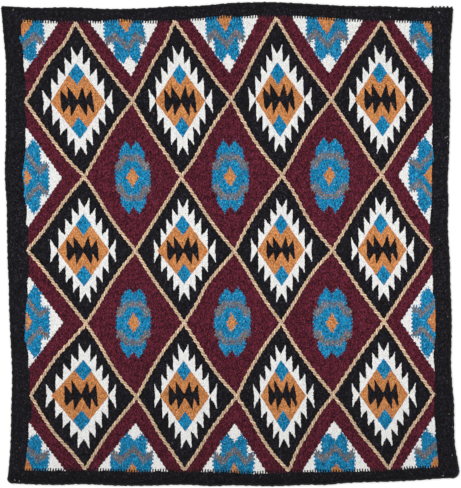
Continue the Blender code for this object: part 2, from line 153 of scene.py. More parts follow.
# %% Plans
class Plan:
    """A tree of nodes that is being written."""

    def __init__(self, tree):
        self.tree = tree

    def node(self, kind, settings=(), inputs=(), output=0):
        """Adds a node: its settings first, then the value or wire of each input."""
        made = self.tree.nodes.new(kind)
        for name, value in dict(settings).items():
            setattr(made, name, value)
        for name, value in dict(inputs).items():
            if isinstance(value, Wire):
                self.tree.links.new(value.socket, made.inputs[name])
            else:
                made.inputs[name].default_value = value
        return Wire(self, made.outputs[output]) if made.outputs else made

    def maths(self, operation, *values):
        return self.node("ShaderNodeMath", {"operation": operation}, enumerate(values))

    def vectors(self, operation, *values):
        return self.node("ShaderNodeVectorMath", {"operation": operation}, enumerate(values))

    def scaled(self, vector, size):
        return self.node("ShaderNodeVectorMath", {"operation": "SCALE"}, {0: vector, "Scale": size})

    def grey(self, value):
        """One number as a colour."""
        return self.join(value, value, value)

    def noise(self, place, scale, detail):
        return self.node("ShaderNodeTexNoise", (), {"Vector": place, "Scale": scale, "Detail": detail}, "Fac")

    def split(self, vector):
        """The three numbers of a vector."""
        x = self.node("ShaderNodeSeparateXYZ", (), {0: vector})
        return x, x.out("Y"), x.out("Z")

    def join(self, x, y, z):
        return self.node("ShaderNodeCombineXYZ", (), {0: x, 1: y, 2: z})

    def ramp(self, value, low, high, at_low=0, at_high=1):
        """A smooth change from one value to another as a number goes from low to high."""
        return self.node("ShaderNodeMapRange", {"interpolation_type": "SMOOTHSTEP"},
                         {"Value": value, "From Min": low, "From Max": high, "To Min": at_low, "To Max": at_high})


print("a plan can write", ", ".join(name for name in vars(Plan) if name[0] != "_"))


# %% Plans for geometry
class GeometryPlan(Plan):
    """A geometry tree with named inputs, used as a modifier once and then turned into a plain mesh."""

    socket_kinds = {float: "NodeSocketFloat", int: "NodeSocketInt", "object": "NodeSocketObject",
                    "material": "NodeSocketMaterial"}

    def __init__(self, name, inputs):
        super().__init__(bpy.data.node_groups.new(name, "GeometryNodeTree"))
        face = self.tree.interface
        face.new_socket("Geometry", in_out="INPUT", socket_type="NodeSocketGeometry")
        face.new_socket("Geometry", in_out="OUTPUT", socket_type="NodeSocketGeometry")
        for label, kind in inputs.items():
            face.new_socket(label, in_out="INPUT", socket_type=self.socket_kinds[kind])
        self.entry = self.tree.nodes.new("NodeGroupInput")

    def __getitem__(self, name):
        """One of the tree's named inputs."""
        return Wire(self, self.entry.outputs[name])

    def place(self):
        return self.node("GeometryNodeInputPosition")

    def moved(self, geometry, **how):
        return self.node("GeometryNodeSetPosition", (), {"Geometry": geometry, **how})

    def distance(self, curves, place):
        """How far a place is from the nearest of these curves."""
        lines = self.node("GeometryNodeCurveToMesh", (), {0: curves})
        return self.node("GeometryNodeProximity", {"target_element": "EDGES"},
                         {"Geometry": lines, "Sample Position": place}, "Distance")

    def store(self, geometry, name, value):
        """Keeps a number under this name on every point."""
        return self.node("GeometryNodeStoreNamedAttribute", {"data_type": "FLOAT", "domain": "POINT"},
                         {"Geometry": geometry, "Name": name, "Value": value})

    def stored(self, name):
        return self.node("GeometryNodeInputNamedAttribute", {"data_type": "FLOAT"}, {"Name": name})

    def finish(self, geometry, yarn):
        """Ends the tree: everything real, smooth and in its yarn."""
        real = self.node("GeometryNodeRealizeInstances", (), {0: geometry})
        smooth = self.node("GeometryNodeSetShadeSmooth", (), {0: real})
        worn = self.node("GeometryNodeSetMaterial", (), {0: smooth, "Material": yarn})
        self.tree.links.new(worn.socket, self.tree.nodes.new("NodeGroupOutput").inputs[0])

    def make(self, name, start, values):
        """Runs the tree on an object with these inputs, and returns the result as a plain mesh object."""
        modifier = start.modifiers.new("made", "NODES")
        modifier.node_group = self.tree
        sockets = {item.name: item.identifier for item in self.tree.interface.items_tree if item.in_out == "INPUT"}
        for label, value in values.items():
            modifier[sockets[label]] = value
        start.update_tag()
        bpy.context.view_layer.update()
        graph = bpy.context.evaluated_depsgraph_get()
        mesh = bpy.data.meshes.new_from_object(start.evaluated_get(graph), preserve_all_data_layers=True,
                                               depsgraph=graph)
        start.modifiers.remove(modifier)
        bpy.data.objects.remove(start)
        mesh.name = name
        return add_object(name, mesh)


print("a geometry plan can also write", ", ".join(name for name in vars(GeometryPlan) if name[0] != "_"))

# %% [markdown]
# ## The yarns
#
# Hand-spun wool is never one flat colour. Dark and light fibres are carded together, so along a weft the shade
# drifts in short streaks, and every bead of weft takes the dye a little differently. The cloth's colour comes bead
# by bead from an attribute that the weaving step writes. The material adds what is finer than a bead: streaks along
# the weft, the twist of the plies, and a fibrous nap. The nap is a bump, the halo of loose fibres is sheen, and
# gloss is almost none.

# %% Colours as they look in daylight, 0 to 255
dyes = {
    "black": (19, 18, 21),
    "burgundy": (87, 26, 40),
    "turquoise": (12, 128, 174),
    "orange": (204, 136, 82),
    "tan": (205, 170, 124),
    "white": (241, 241, 239),
    "grey": (98, 120, 134),
    "fawn": (138, 114, 100),
    "undyed": (164, 159, 154),
    "black cord": (32, 31, 35),
}


def daylight(colour):
    """Linear values for a shader, from a colour as it looks."""
    share = np.asarray(colour, float) / 255
    return np.where(share < 0.04045, share / 12.92, ((share + 0.055) / 1.055) ** 2.4)


print("yarns:", ", ".join(dyes))

# %% Starting a material
def new_material(name, **finish):
    """A material, the plan of its tree, and a way to wire its shader, with the plain finishes already set."""
    material = bpy.data.materials.new(name)
    material.use_nodes = True
    skin = material.node_tree.nodes["Principled BSDF"]
    for socket, value in finish.items():
        skin.inputs[socket].default_value = value
    plan = Plan(material.node_tree)
    return material, plan, lambda wire, socket: plan.tree.links.new(wire.socket, skin.inputs[socket])


paper_lift = 0.1  # a little light of the paper's own, only for the eye, so that it reads as white
paper, plan, wire_up = new_material("white paper", **{
    "Base Color": (0.97, 0.97, 0.96, 1), "Roughness": 1, "Specular IOR Level": 0, "Emission Strength": 1})
seen = plan.node("ShaderNodeLightPath", output="Is Camera Ray")
seen = plan.maths("MAXIMUM", seen, plan.maths("MAXIMUM", seen.out("Is Glossy Ray"), seen.out("Is Transmission Ray")))
wire_up(plan.grey(seen * paper_lift), "Emission Color")
floor.data.materials.append(paper)
print("the floor is", paper.name)

# %% The wool material
weft_streaks = 620
rows_streaks = 900
nap_size = 2600
middle_of_noise = 0.3, 0.7
nap_shade = 0.94, 1.06
ply_pitch = 0.0011
ply_relief, nap_relief, streak_relief = 0.25, 0.9, 0.8
relief_strength, relief_depth = 0.6, 0.0004
wool_finish = {"Roughness": 0.93, "Specular IOR Level": 0.12, "Sheen Weight": 0.05, "Sheen Roughness": 0.6}


def wool(name, dye=None, light_and_dark=(0.8, 1.2), ply_slant=1.0):
    """Wool yarn that drifts between a lighter and a darker shade of one dye, or of the colour that a piece carries."""
    material, plan, wire_up = new_material(name, **wool_finish)
    place = plan.node("ShaderNodeTexCoord", output="Object")
    x, y, z = plan.split(place)
    streak = plan.noise(plan.join(x * weft_streaks, y * rows_streaks, z * rows_streaks), 1, 3)
    nap = plan.noise(place, nap_size, 2)
    if dye:
        base = plan.node("ShaderNodeRGB")
        base.socket.default_value = (*daylight(dyes[dye]), 1)
    else:
        base = plan.node("ShaderNodeAttribute", {"attribute_name": "yarn_colour"}, output="Color")
    shade = plan.ramp(streak, *middle_of_noise, *light_and_dark) * plan.ramp(nap, *middle_of_noise, *nap_shade)
    wire_up(plan.vectors("MULTIPLY", base, plan.grey(shade)), "Base Color")
    plies = plan.maths("SINE", (x * ply_slant + y) * (2 * math.pi / ply_pitch))
    relief = plies * ply_relief + nap * nap_relief + streak * streak_relief
    wire_up(plan.node("ShaderNodeBump", (), {"Strength": relief_strength, "Distance": relief_depth,
                                             "Height": relief}), "Normal")
    return material


cloth_wool = wool("woven wool")
outline_wool = wool("tan outline wool", light_and_dark=(0.86, 1.14), ply_slant=-1.0)
edge_wool = wool("black cord wool", "black cord", (0.45, 1.5))
stitch_wool = wool("undyed stitch wool", "undyed", (0.85, 1.1))
print("wools:", [material.name for material in (cloth_wool, outline_wool, edge_wool, stitch_wool)])

# %% [markdown]
# ## The hand-woven outline
#
# The edges of a hand-woven cloth pull in and out as the weaver beats the weft, so each side bows by its own amount.
# The solid model gives that bow as a short list of shares at equal steps along each side. The lists here follow the
# same bow in finer steps, with the small bumps of the real edge. A function returns the point at any distance along a
# side, moved in from the edge, and the rounded corners join the sides. The two near corners are rounder than the two
# far ones, and the bumps fade out before them.

# %% The sides and how they bow
spine_width = 0.892
drop_length = 0.9457

# For each side, clockwise from the left: the way out, half the blanket's size that way and how far the wool stands
# out beyond it, the side's length, the depth of its bow, and the bow's shape.
sides = (
    (Vector((-1, 0)), spine_width / 2 + 0.001, drop_length, 0.0186,
     (0.52, 0.72, 0.87, 0.93, 0.97, 1.04, 1.01, 0.9, 0.8, 0.72, 0.69, 0.58, 0.53,
      0.5, 0.47, 0.31, 0.29, 0.38, 0.4, 0.37, 0.39, 0.39, 0.2, 0.02, -0.17)),
    (Vector((0, 1)), drop_length / 2 + 0.0004, spine_width, 0.0149,
     (0.63, 0.76, 0.86, 0.79, 0.82, 0.96, 1.01, 0.95, 0.84, 0.65, 0.63, 0.45, 0.22,
      0.14, 0.1, 0.18, 0.31, 0.45, 0.59, 0.64, 0.64, 0.75, 0.81, 0.79, 0.81)),
    (Vector((1, 0)), spine_width / 2 + 0.0026, drop_length, 0.0234,
     (0.55, 0.63, 0.78, 0.84, 0.87, 0.81, 0.86, 0.88, 0.94, 1.02, 0.95, 1.01, 0.94,
      0.83, 0.8, 0.72, 0.68, 0.71, 0.74, 0.64, 0.49, 0.48, 0.41, 0.12, -0.05)),
    (Vector((0, -1)), drop_length / 2 + 0.002, spine_width, 0.0164,
     (0.95, 0.88, 0.7, 0.57, 0.48, 0.43, 0.33, 0.12, 0.12, 0.02, -0.04, 0.02, 0.06,
      -0.03, 0.1, 0.12, 0.04, 0.01, 0.03, 0.14, 0.2, 0.11, 0.15, 0.24, 0.35)),
)
print("sides:", len(sides), "each with", len(sides[0][4]), "shares of its bow")


# %% A point beside the edge
lump = 0.0004  # the height of the edge's small bumps; two waves of unlike length make them
lump_waves = ((367, 2.1), (613, 4.7))
calm_corner = 0.016  # no bumps this near a corner
lump_growth = 0.04  # and full ones this much further on


def smooth(shares, place):
    """A smooth curve through evenly spaced shares, read at a place from 0 to 1."""
    place = min(max(place, 0), 1) * (len(shares) - 1)
    first = min(int(place), len(shares) - 2)
    part = place - first
    a, b, c, d = (shares[min(max(first + k, 0), len(shares) - 1)] for k in (-1, 0, 1, 2))
    return b + part * ((c - a) + part * ((2 * a - 5 * b + 4 * c - d) + part * (3 * b - a - 3 * c + d))) / 2


def lumps(number, place):
    """The height of the small bumps at a place along a side."""
    grown = min(max((sides[number][2] / 2 - abs(place) - calm_corner) / lump_growth, 0), 1)
    return lump * grown * sum(math.sin(place * wave + number * shift) for wave, shift in lump_waves)


def beside(number, along, inset):
    """The point this far along a side from its middle, moved in square to the bowed edge."""
    out, reach, length, bow, shares = sides[number]
    run = Vector((out.y, -out.x))
    step = length / 1000
    here, before, after = (reach - bow * smooth(shares, place / length + 0.5) + lumps(number, place)
                           for place in (along, along - step, along + step))
    inward = -(out + run * (before - after) / (2 * step)).normalized()
    return out * here + run * along + inward * inset


print("the left side's middle is at", [round(v, 4) for v in beside(0, 0, 0)])

# %% Rounded corners
corner_names = ("left_far", "right_far", "right_near", "left_near")
corner_radii = (0.0055, 0.0055, 0.0145, 0.0105)
corner_tries = 20


def find_corner(number):
    """How far along a side, and along the next one, the rounded corner between them starts and ends."""
    following, radius = (number + 1) % 4, corner_radii[number]
    stop, start = sides[number][2] / 2 - radius, radius - sides[following][2] / 2
    out, next_out = sides[number][0], sides[following][0]
    for _ in range(corner_tries):
        apart = beside(following, start, radius) - beside(number, stop, radius)
        stop += apart.dot(Vector((out.y, -out.x)))
        start -= apart.dot(Vector((next_out.y, -next_out.x)))
    return stop, start


corner_ends = [find_corner(number) for number in range(4)]


def on_corner(number, share, inset):
    """A point on a rounded corner, from its start at 0 to its end at 1, moved in from the edge."""
    stop, start = corner_ends[number]
    centre = beside(number, stop, corner_radii[number])
    opens = beside(number, stop, 0) - centre
    closes = beside((number + 1) % 4, start, 0) - centre
    angle = math.atan2(opens.y, opens.x) - share * opens.angle(closes)
    return centre + Vector((math.cos(angle), math.sin(angle))) * (corner_radii[number] - inset)


print("corners start and end at", [tuple(round(v, 3) for v in ends) for ends in corner_ends])

# %% A path along an edge
corner_points = 6  # on each corner
edge_steps = 300
end_reach = 0.012  # the path changes its inset over this much at each end


def edge_path(number, inset, corner_inset, corner_share):
    """Points along a side, with part of the rounded corner at each end."""
    start, stop = corner_ends[number - 1][1], corner_ends[number][0]
    shares = [k / corner_points for k in range(corner_points + 1)]
    first = [on_corner(number - 1, 1 - corner_share * (1 - share), corner_inset) for share in shares[:-1]]
    last = [on_corner(number, corner_share * share, corner_inset) for share in shares[1:]]
    middle = []
    for k in range(edge_steps + 1):
        along = start + (stop - start) * k / edge_steps
        near_end = max(0, 1 - min(along - start, stop - along) / end_reach) ** 2
        middle.append(beside(number, along, inset + (corner_inset - inset) * near_end))
    return first + middle + last


print("an edge's path has", len(edge_path(0, 0, 0, 0.5)), "points")

# %% [markdown]
# ## The lattice
#
# The tan lines run from crossing to crossing. The crossings are given row by row as shares of the patterned field,
# within a few millimetres of those in the solid model, where the lines between them are straight. A weaver who steps a
# line over from warp to warp doesn't keep it straight, so on the real blanket each line bends a few millimetres to one
# side on its way. Those bends are given here for each line from one crossing down to the next. A cell is then a closed
# ring of such lines.

# %% Crossings
field_left, field_right = 0.042 - spine_width / 2, spine_width / 2 - 0.0395
field_near, field_far = 0.0262 - drop_length / 2, drop_length / 2 - 0.028


def in_field(places):
    """Points on the blanket from places given as shares of the patterned field."""
    return [Vector((field_left + x * (field_right - field_left), field_near + y * (field_far - field_near)))
            for x, y in places]


lattice = (
    ((-0.009, 0.988), (0.1244, 0.9845), (0.3634, 0.9878), (0.6082, 0.9947), (0.8612, 0.9858), (0.983, 0.989)),
    ((0.0042, 0.8107), (0.2619, 0.8122), (0.4996, 0.8164), (0.741, 0.8157), (0.981, 0.8159)),
    ((0.1459, 0.6465), (0.3792, 0.6454), (0.6225, 0.6492), (0.8617, 0.6507)),
    ((0.009, 0.4855), (0.2692, 0.4845), (0.5078, 0.4836), (0.7436, 0.4855), (0.9825, 0.4891)),
    ((0.1498, 0.3244), (0.3862, 0.326), (0.6204, 0.3264), (0.868, 0.329)),
    ((0.0164, 0.1677), (0.2722, 0.1639), (0.5134, 0.1654), (0.7452, 0.1686), (0.9878, 0.1695)),
    ((0, 0.004), (0.1482, 0.0063), (0.3875, 0.0037), (0.6377, 0.002), (0.8799, 0.007), (1, 0.011)),
)
rows = [in_field(row) for row in lattice]
far_left, far_right, near_right, near_left = rows[0][0], rows[0][-1], rows[6][-1], rows[6][0]
rows[0], rows[6] = rows[0][1:-1], rows[6][1:-1]
print("crossings in each row:", [len(row) for row in rows])

# %% The inner edge of the border
# Where the border starts along the far and near ends, as the weaver's last passes wander up and down.
far_line = ((0.003, 0.988), (0.068, 0.985), (0.179, 0.9845), (0.239, 0.989), (0.273, 0.986), (0.312, 0.985),
            (0.365, 0.987), (0.425, 0.991), (0.485, 0.997), (0.516, 0.994), (0.557, 0.997), (0.61, 0.997),
            (0.671, 0.9955), (0.731, 0.992), (0.769, 0.989), (0.883, 0.987))
near_line = ((0.931, 0.01), (0.875, 0.005), (0.815, 0.004), (0.745, 0.002), (0.69, 0.0025), (0.635, 0.001),
             (0.565, -0.001), (0.545, -0.0025), (0.5, 0.0015), (0.442, 0.003), (0.384, 0.002), (0.324, 0.0045),
             (0.292, 0.0015), (0.256, 0.003), (0.196, 0.0055), (0.148, 0.005), (0.092, 0.0055))

# Where the border starts along the left and right sides, from the far end down.
left_line = (
    (-0.0056, 0.984), (-0.0057, 0.958), (-0.0106, 0.952), (-0.0106, 0.945), (-0.0039, 0.938), (-0.0006, 0.919),
    (-0.0009, 0.892), (0.0053, 0.853), (0.0055, 0.827), (0.001, 0.807), (0.0077, 0.768), (0.0036, 0.748),
    (0.0056, 0.715), (-0.0036, 0.649), (0.0021, 0.623), (-0.0003, 0.603), (0.0077, 0.584), (0.0064, 0.544),
    (0.012, 0.531), (0.0093, 0.485), (0.013, 0.465), (0.0126, 0.432), (0.0085, 0.419), (0.0105, 0.386),
    (0.0056, 0.36), (0.0022, 0.301), (0.0028, 0.288), (0.0116, 0.262), (0.0116, 0.229), (0.0159, 0.216),
    (0.0138, 0.17), (0.0183, 0.156), (0.0201, 0.124), (0.0201, 0.117), (0.0119, 0.11), (0.0117, 0.078),
    (0.0025, 0.005))
right_line = (
    (0.9826, 0.984), (0.9855, 0.886), (0.9827, 0.86), (0.9851, 0.754), (0.9827, 0.722), (0.9886, 0.689),
    (0.9835, 0.676), (0.983, 0.59), (0.9766, 0.524), (0.984, 0.492), (0.9859, 0.393), (0.9919, 0.367),
    (0.9919, 0.288), (0.9866, 0.262), (0.9907, 0.209), (0.9888, 0.124), (0.9991, 0.018), (0.9949, 0.012))
field = in_field(far_line + right_line + near_line + left_line[::-1])
print("the border's inner edge has", len(field), "corners")

# %% How the tan lines bend
# How far each tan line bends to the right of straight, in millimetres, at a quarter, half and three quarters of its
# way down: the line from crossing k of a row to crossing j of the next row is number k + j.
bends = (
    ((3, -3, -1.6), (-3, -3.3, -2), (4, 0.8, 1.2), (-0.8, -2, -3.2),
     (0.3, 0.2, 2.3), (-2.6, -4.6, -1.7), (-0.4, -3.6, -1), (-2.2, -3, 0)),
    ((-2.4, -4.5, -4.7), (-3.8, -3.7, -1.1), (-1.9, -1.5, 0.2), (-1.7, -0.9, 2.4),
     (-3.7, -6.7, -4.9), (-4.1, -4.7, -1.6), (-0.5, 0.3, -0.9), (-0.7, -1.1, -0.2)),
    ((-1.8, -0.4, 1.4), (-0.5, -3.7, -2.8), (0.8, 0.7, 0.3), (-0.3, -2.9, -2.6),
     (-3.1, -5, -3.8), (0.2, -4.5, -4.7), (-3, -3, -1.5), (-1.2, -5.4, -4)),
    ((1.5, 0.4, 0.7), (-3.1, -3.6, -0.7), (-1.7, -1.6, 0.1), (-4.1, -6.7, -1.2),
     (0.1, -1.5, -2), (-5.4, -5.3, -1.9), (-0.1, -1.5, -1.1), (2.2, 0.5, 0.6)),
    ((-2.7, -6.1, -3.8), (-0.6, -4.4, -5.1), (-3.4, -4.5, -2.9), (-1.9, -5.3, -4.8),
     (-4, -5.1, -4), (-3.6, -4.4, -2.9), (-1.3, -2.2, -1.6), (0.4, -1, -0.9)),
    ((-4.7, -6.5, -1.8), (-2.4, -4.6, -3.1), (0.7, -1.7, -0.4), (-2.2, -3, -0.2),
     (-1.6, -5.5, -5.6), (-5, -5.4, -5.3), (0.6, -2.4, 0), (-1.1, -3.7, -2.4)),
)
print("a tan line bends up to", max(abs(bend) for row in bends for line in row for bend in line), "mm")

# %% Following a bend
line_steps = 8


def square_to(a, b):
    """The direction to the right of the way from a to b, seen with the far end on top."""
    return Vector((a.y - b.y, b.x - a.x)).normalized()


def on_line(upper, lower, share):
    """A point on the tan line between two crossings, which are given by their row and number."""
    (v, k), (_, j) = upper, lower
    a, b = rows[v][k], rows[v + 1][j]
    return a.lerp(b, share) + square_to(a, b) * (smooth((0, *bends[v][k + j], 0), share) / 1000)


def bent(start, stop):
    """Points from one crossing to the next one up or down, without the last."""
    shares = [k / line_steps for k in range(line_steps)]
    if start[0] < stop[0]:
        return [on_line(start, stop, share) for share in shares]
    return [on_line(stop, start, 1 - share) for share in shares]


def ring(*crossings):
    """A closed ring of tan lines."""
    return [spot for start, stop in zip(crossings, crossings[1:] + crossings[:1]) for spot in bent(start, stop)]


print("the first cell has", len(ring((0, 0), (1, 1), (2, 0), (1, 0))), "points in its ring")

# %% [markdown]
# ## The figures in the cells
#
# Three figures make the pattern. An eye diamond holds a white spiked burst, an orange eye with two turquoise pupils,
# and a black spiked bar. A medallion diamond holds a stepped turquoise medallion with grey bands and an orange
# heart. Along the border, the cells hold the same medallion on white, cut in half. Each figure is written as a few
# corners, in shares of its own half width and half height, and mirrored.

# %% Figures from a few corners
def both_ways(quarter):
    """A whole outline from one quarter of it, from the top round to the right side."""
    right = list(quarter) + [(x, -y) for x, y in quarter[-2::-1]]
    return right + [(-x, y) for x, y in right[::-1] if x]


def left_and_right(half):
    """A whole outline from its right half, from the top down."""
    return list(half) + [(-x, y) for x, y in half[::-1] if x]


burst = both_ways(((0, 0.82), (0.115, 0.905), (0.217, 1.004), (0.209, 0.662), (0.352, 0.727), (0.467, 0.807),
                   (0.463, 0.468), (0.612, 0.535), (0.73, 0.617), (0.732, 0.292), (0.88, 0.355), (0.984, 0.433),
                   (0.985, 0.09), (1.03, 0)))
wing = ((0.765, 0), (0.82, 0.3), (0.91, 0.64), (0.985, 1.08), (0.975, 0.4), (0.955, 0), (0.975, -0.4),
        (0.985, -1.08), (0.91, -0.64), (0.82, -0.3))
diamond = ((0, 1), (1, 0), (0, -1), (-1, 0))
bar = ((-1.03, 0.64), (-0.96, 0.69), (-0.58, 0.15), (-0.58, 0.99), (-0.01, 0.1), (0.33, 0.97), (0.5, 0.17),
       (0.85, 0.77), (0.94, 0), (0.98, -0.65), (0.88, -0.73), (0.6, -0.19), (0.51, -0.97), (0.03, -0.13),
       (-0.43, -0.97), (-0.51, -0.23), (-0.88, -0.71), (-1.02, -0.4))
medallion = both_ways(((0, 0.82), (0.3, 1), (0.5, 0.875), (0.69, 0.74), (0.74, 0.6), (0.7, 0.4), (0.97, 0.35),
                       (1, 0)))
band = left_and_right(((0, 0.62), (0.48, 0.62), (0.72, 0.46), (0.97, 0.38), (0.97, 0.24), (0.8, 0.19),
                       (0.62, 0.22), (0.5, 0.34), (0.3, 0.47), (0, 0.47)))

print("corners:", len(burst), "in a burst,", len(bar), "in a bar,", len(medallion), "in a medallion")

# %% Figures along the border
# The border cuts these in half. They stand on it, with a little spare beyond the cut.
white_cone = left_and_right(((0, 1), (1, 0), (1, -0.2)))
end_medallion = left_and_right(((0, 0.82), (0.33, 1), (0.64, 0.83), (0.64, 0.5), (1, 0.48), (1, 0.23),
                                (0.95, 0), (0.95, -0.2)))
end_band = left_and_right(((0, 0.7), (0.52, 0.42), (0.95, 0.58), (0.95, 0.38), (0.52, 0.22), (0, 0.52)))
end_heart = left_and_right(((0, 1), (1, 0), (1, -0.6)))
side_medallion = left_and_right(((0, 0.95), (0.43, 0.93), (0.45, 0.6), (0.82, 0.57), (1, 0.33), (1, 0.27),
                                 (0.73, -0.02), (0.7, -0.2)))
side_band = ((0.7, 0), (0.31, 0.5), (0.45, 0.82), (0.35, 0.95), (0.11, 0.54), (0.5, 0))
other_side_band = [(-x, y) for x, y in side_band]
side_heart = left_and_right(((0, 1), (1, 0), (0.6, -0.35)))

print("corners:", len(end_medallion), "in an end medallion,", len(side_medallion), "in a side medallion")

# %% Sizes of the figures
# Half width and half height of each figure.
burst_size = (0.0477, 0.1055)
wing_size = (0.0635, 0.0225)
eye_size = (0.0478, 0.0742)
pupil_size = (0.0134, 0.0206)
bar_size = (0.0308, 0.0293)
medallion_size = (0.0352, 0.073)
heart_size = (0.0109, 0.0185)

# For each place along the border, the half width and height of its white ground, medallion and heart.
border_sizes = {
    "far end": ((0.0654, 0.1074), (0.041, 0.0852), (0.0109, 0.0293)),
    "near end": ((0.0689, 0.0963), (0.041, 0.0716), (0.0115, 0.0205)),
    "far corner": ((0.068, 0.104), (0.041, 0.0765), (0.0165, 0.0283)),
    "near corner": ((0.067, 0.0963), (0.041, 0.0716), (0.0165, 0.0205)),
    "far side": ((0.0971, 0.069), (0.0703, 0.0469), (0.0185, 0.0107)),
    "near side": ((0.0947, 0.0695), (0.0684, 0.046), (0.0185, 0.0107)),
}
print("a burst is", round(200 * burst_size[0], 1), "by", round(200 * burst_size[1], 1), "cm")

# %% How each eye diamond differs from the usual one
def hands(kind, places, table):
    """Gives each row of a table the name of its cell."""
    return {f"{kind}_{place}": row for place, row in zip(places.split(), table, strict=True)}


# No two figures are alike, because the weaver counts by eye. For each eye diamond: how far its figures sit from its
# middle, across and up in millimetres; how long the burst's left, right, upper and lower part is as a share of the
# usual, and how far its top and foot lean to the right in millimetres. Then the same of the eye; the bar's width and
# height, and how far it sits from the eye's middle; and the size of the pupils.
eye_places = "far_1 far_2 far_3 far_4 middle_1 middle_2 middle_3 middle_4 near_1 near_2 near_3 near_4"
eye_hand = hands("eye_diamond", eye_places, (
    ((-1.8, -3), (1.03, 1, 1.03, 1), (3.1, -0.8),
     (1.06, 1.03, 1.04, 0.99), (-0.8, -1.4), (0.98, 1.07), (-1.5, 1.5), 1.06),
    ((1.8, -2.3), (1, 1, 1.02, 1.02), (-1, 0),
     (1.05, 1.02, 0.97, 0.97), (-0.3, 1.3), (1.02, 1.1), (0, 0), 1.01),
    ((-2.8, -2.6), (0.93, 1.03, 1.02, 0.99), (0, -1.8),
     (0.94, 1.03, 0.97, 0.99), (0, 0), (0.98, 1.09), (1.5, 1), 1.08),
    ((0.6, -1), (1.01, 0.98, 0.99, 1), (-2.8, 1.7),
     (1.09, 1.06, 1, 0.99), (-4.8, 2.8), (1.03, 1.09), (-1, 0.5), 1.05),
    ((2.6, -0.8), (0.99, 0.9, 0.98, 0.96), (0.3, 0.8),
     (1.03, 0.93, 1.03, 1), (-2.3, -2.5), (0.95, 1.01), (-3, 0.7), 1.1),
    ((-0.5, -0.9), (0.93, 1.01, 0.97, 0.92), (0.4, -0.7),
     (1.07, 1.04, 1.01, 0.93), (-1, 0.5), (1.02, 0.99), (-0.5, 1.5), 1.03),
    ((-1.8, 0.1), (0.98, 0.97, 0.95, 0.97), (-0.5, 0.5),
     (1.01, 0.96, 1, 1.01), (-2, 0.5), (0.93, 0.92), (-1, 0.7), 1.06),
    ((-0.5, -1.9), (0.96, 1, 0.99, 0.95), (-1.7, 1.6),
     (1.01, 1.01, 1.03, 1), (-2.5, 2.5), (0.98, 1.04), (1, 1), 1.08),
    ((-2.2, 0.9), (1.1, 0.95, 0.96, 0.97), (3.2, 1.5),
     (1.23, 0.98, 1.02, 1), (-0.7, -4.7), (1, 1.03), (-3.8, 0.5), 1.08),
    ((-1.5, 0.9), (0.94, 1, 0.97, 0.97), (-2.9, 2.5),
     (1.01, 1.01, 0.99, 0.99), (-2.5, 1.2), (0.98, 1), (-0.5, 1.3), 1.03),
    ((-3.7, 0.9), (0.95, 1, 0.94, 0.97), (-0.5, -2.7),
     (0.95, 0.98, 1, 1.02), (-0.5, -2), (0.92, 1.06), (-0.5, 1.5), 1.11),
    ((-0.8, 0.1), (1, 0.97, 0.98, 0.95), (1.5, 2),
     (1.02, 0.96, 1.03, 1), (1, -0.5), (0.95, 1.05), (-1.7, 1.3), 1.11),
))

print("eye diamonds:", len(eye_hand))

# %% How the medallions and the border's figures differ
# For a medallion diamond: the shift, the parts and the lean of the medallion with its bands, and the heart's width
# and height.
medallion_hand = hands("medallion_diamond", "far_1 far_2 far_3 near_1 near_2 near_3", (
    ((-1.8, -1.8), (0.93, 1, 0.96, 0.96), (-3.2, 2), (1.09, 1.07)),
    ((-4.5, -2.2), (0.98, 1.05, 0.98, 0.94), (-1, 0.3), (1.16, 1.02)),
    ((-4.5, -0.8), (1.05, 1.08, 1, 0.98), (0, 0), (1.03, 0.99)),
    ((-3.6, 1.2), (0.97, 0.95, 0.94, 0.93), (0, -0.7), (1.08, 1.06)),
    ((-4.8, 0.8), (0.97, 1.05, 0.94, 0.9), (1, 0.2), (0.96, 1.05)),
    ((-1, -1.1), (1.04, 1.1, 0.94, 0.94), (-0.8, -1.2), (1.07, 1.06)),
))

# For a cell along the border: the shift; the left and right part, the height and the lean of the white ground; the
# same of the medallion with its bands; and the heart's width and height.
border_hand = hands("end_triangle", "far_1 far_2 far_3 near_1 near_2 near_3", (
    ((0.6, -2), (1.07, 0.97, 0.97), 1.5, (1.08, 0.88, 0.94), 2, (1.18, 0.67)),
    ((-1.9, 0.9), (1.04, 0.99, 0.98), 2.5, (0.94, 0.89, 0.98), 2, (1.28, 0.88)),
    ((-4.3, -0.8), (0.98, 1.11, 0.97), 1.5, (1, 0.99, 0.94), 2.3, (1.59, 0.93)),
    ((-5.2, -4.9), (1.05, 1.02, 0.99), 4, (1.09, 0.94, 1.06), 4, (1.04, 0.86)),
    ((-4, -6.7), (1, 0.94, 1.03), 0.3, (1.03, 0.95, 1.09), 0, (0.96, 1.07)),
    ((-4.1, -2.1), (0.97, 0.98, 1.02), 2, (1.04, 0.92, 1.05), 2, (1.09, 0.64)),
)) | hands("side_triangle", "left_far left_near right_far right_near", (
    ((-0.1, -2.6), (1.05, 1, 1), 0, (0.98, 1.08, 1), -5.5, (0.93, 1.01)),
    ((-3, 1.7), (0.98, 0.98, 1), 0, (1.02, 1.04, 1), -1.5, (1.01, 0.86)),
    ((2.8, -2), (1.09, 1.04, 0.97), 1, (1.05, 1.03, 1.06), 2, (1.3, 1.56)),
    ((4.5, 1.3), (1.04, 1.04, 0.96), -1, (1.04, 0.95, 1.04), 0, (1.25, 1.44)),
)) | hands("corner_triangle", "left_far left_near right_far right_near", (
    ((4.4, -4.8), (1.12, 1.02, 0.91), -1, (1.12, 1.05, 1.01), -4.3, (1.21, 0.87)),
    ((3.4, -0.5), (1.07, 1.15, 0.96), -1, (1, 1.09, 1.01), -1.5, (0.85, 1.23)),
    ((-3.1, -6.2), (1, 1.37, 0.92), 3.5, (0.99, 1.38, 0.95), 1, (0.82, 0.8)),
    ((-4.4, -4.2), (1.05, 1.07, 1.07), 2, (0.99, 0.3, 1.09), 0, (0.84, 1.34)),
))
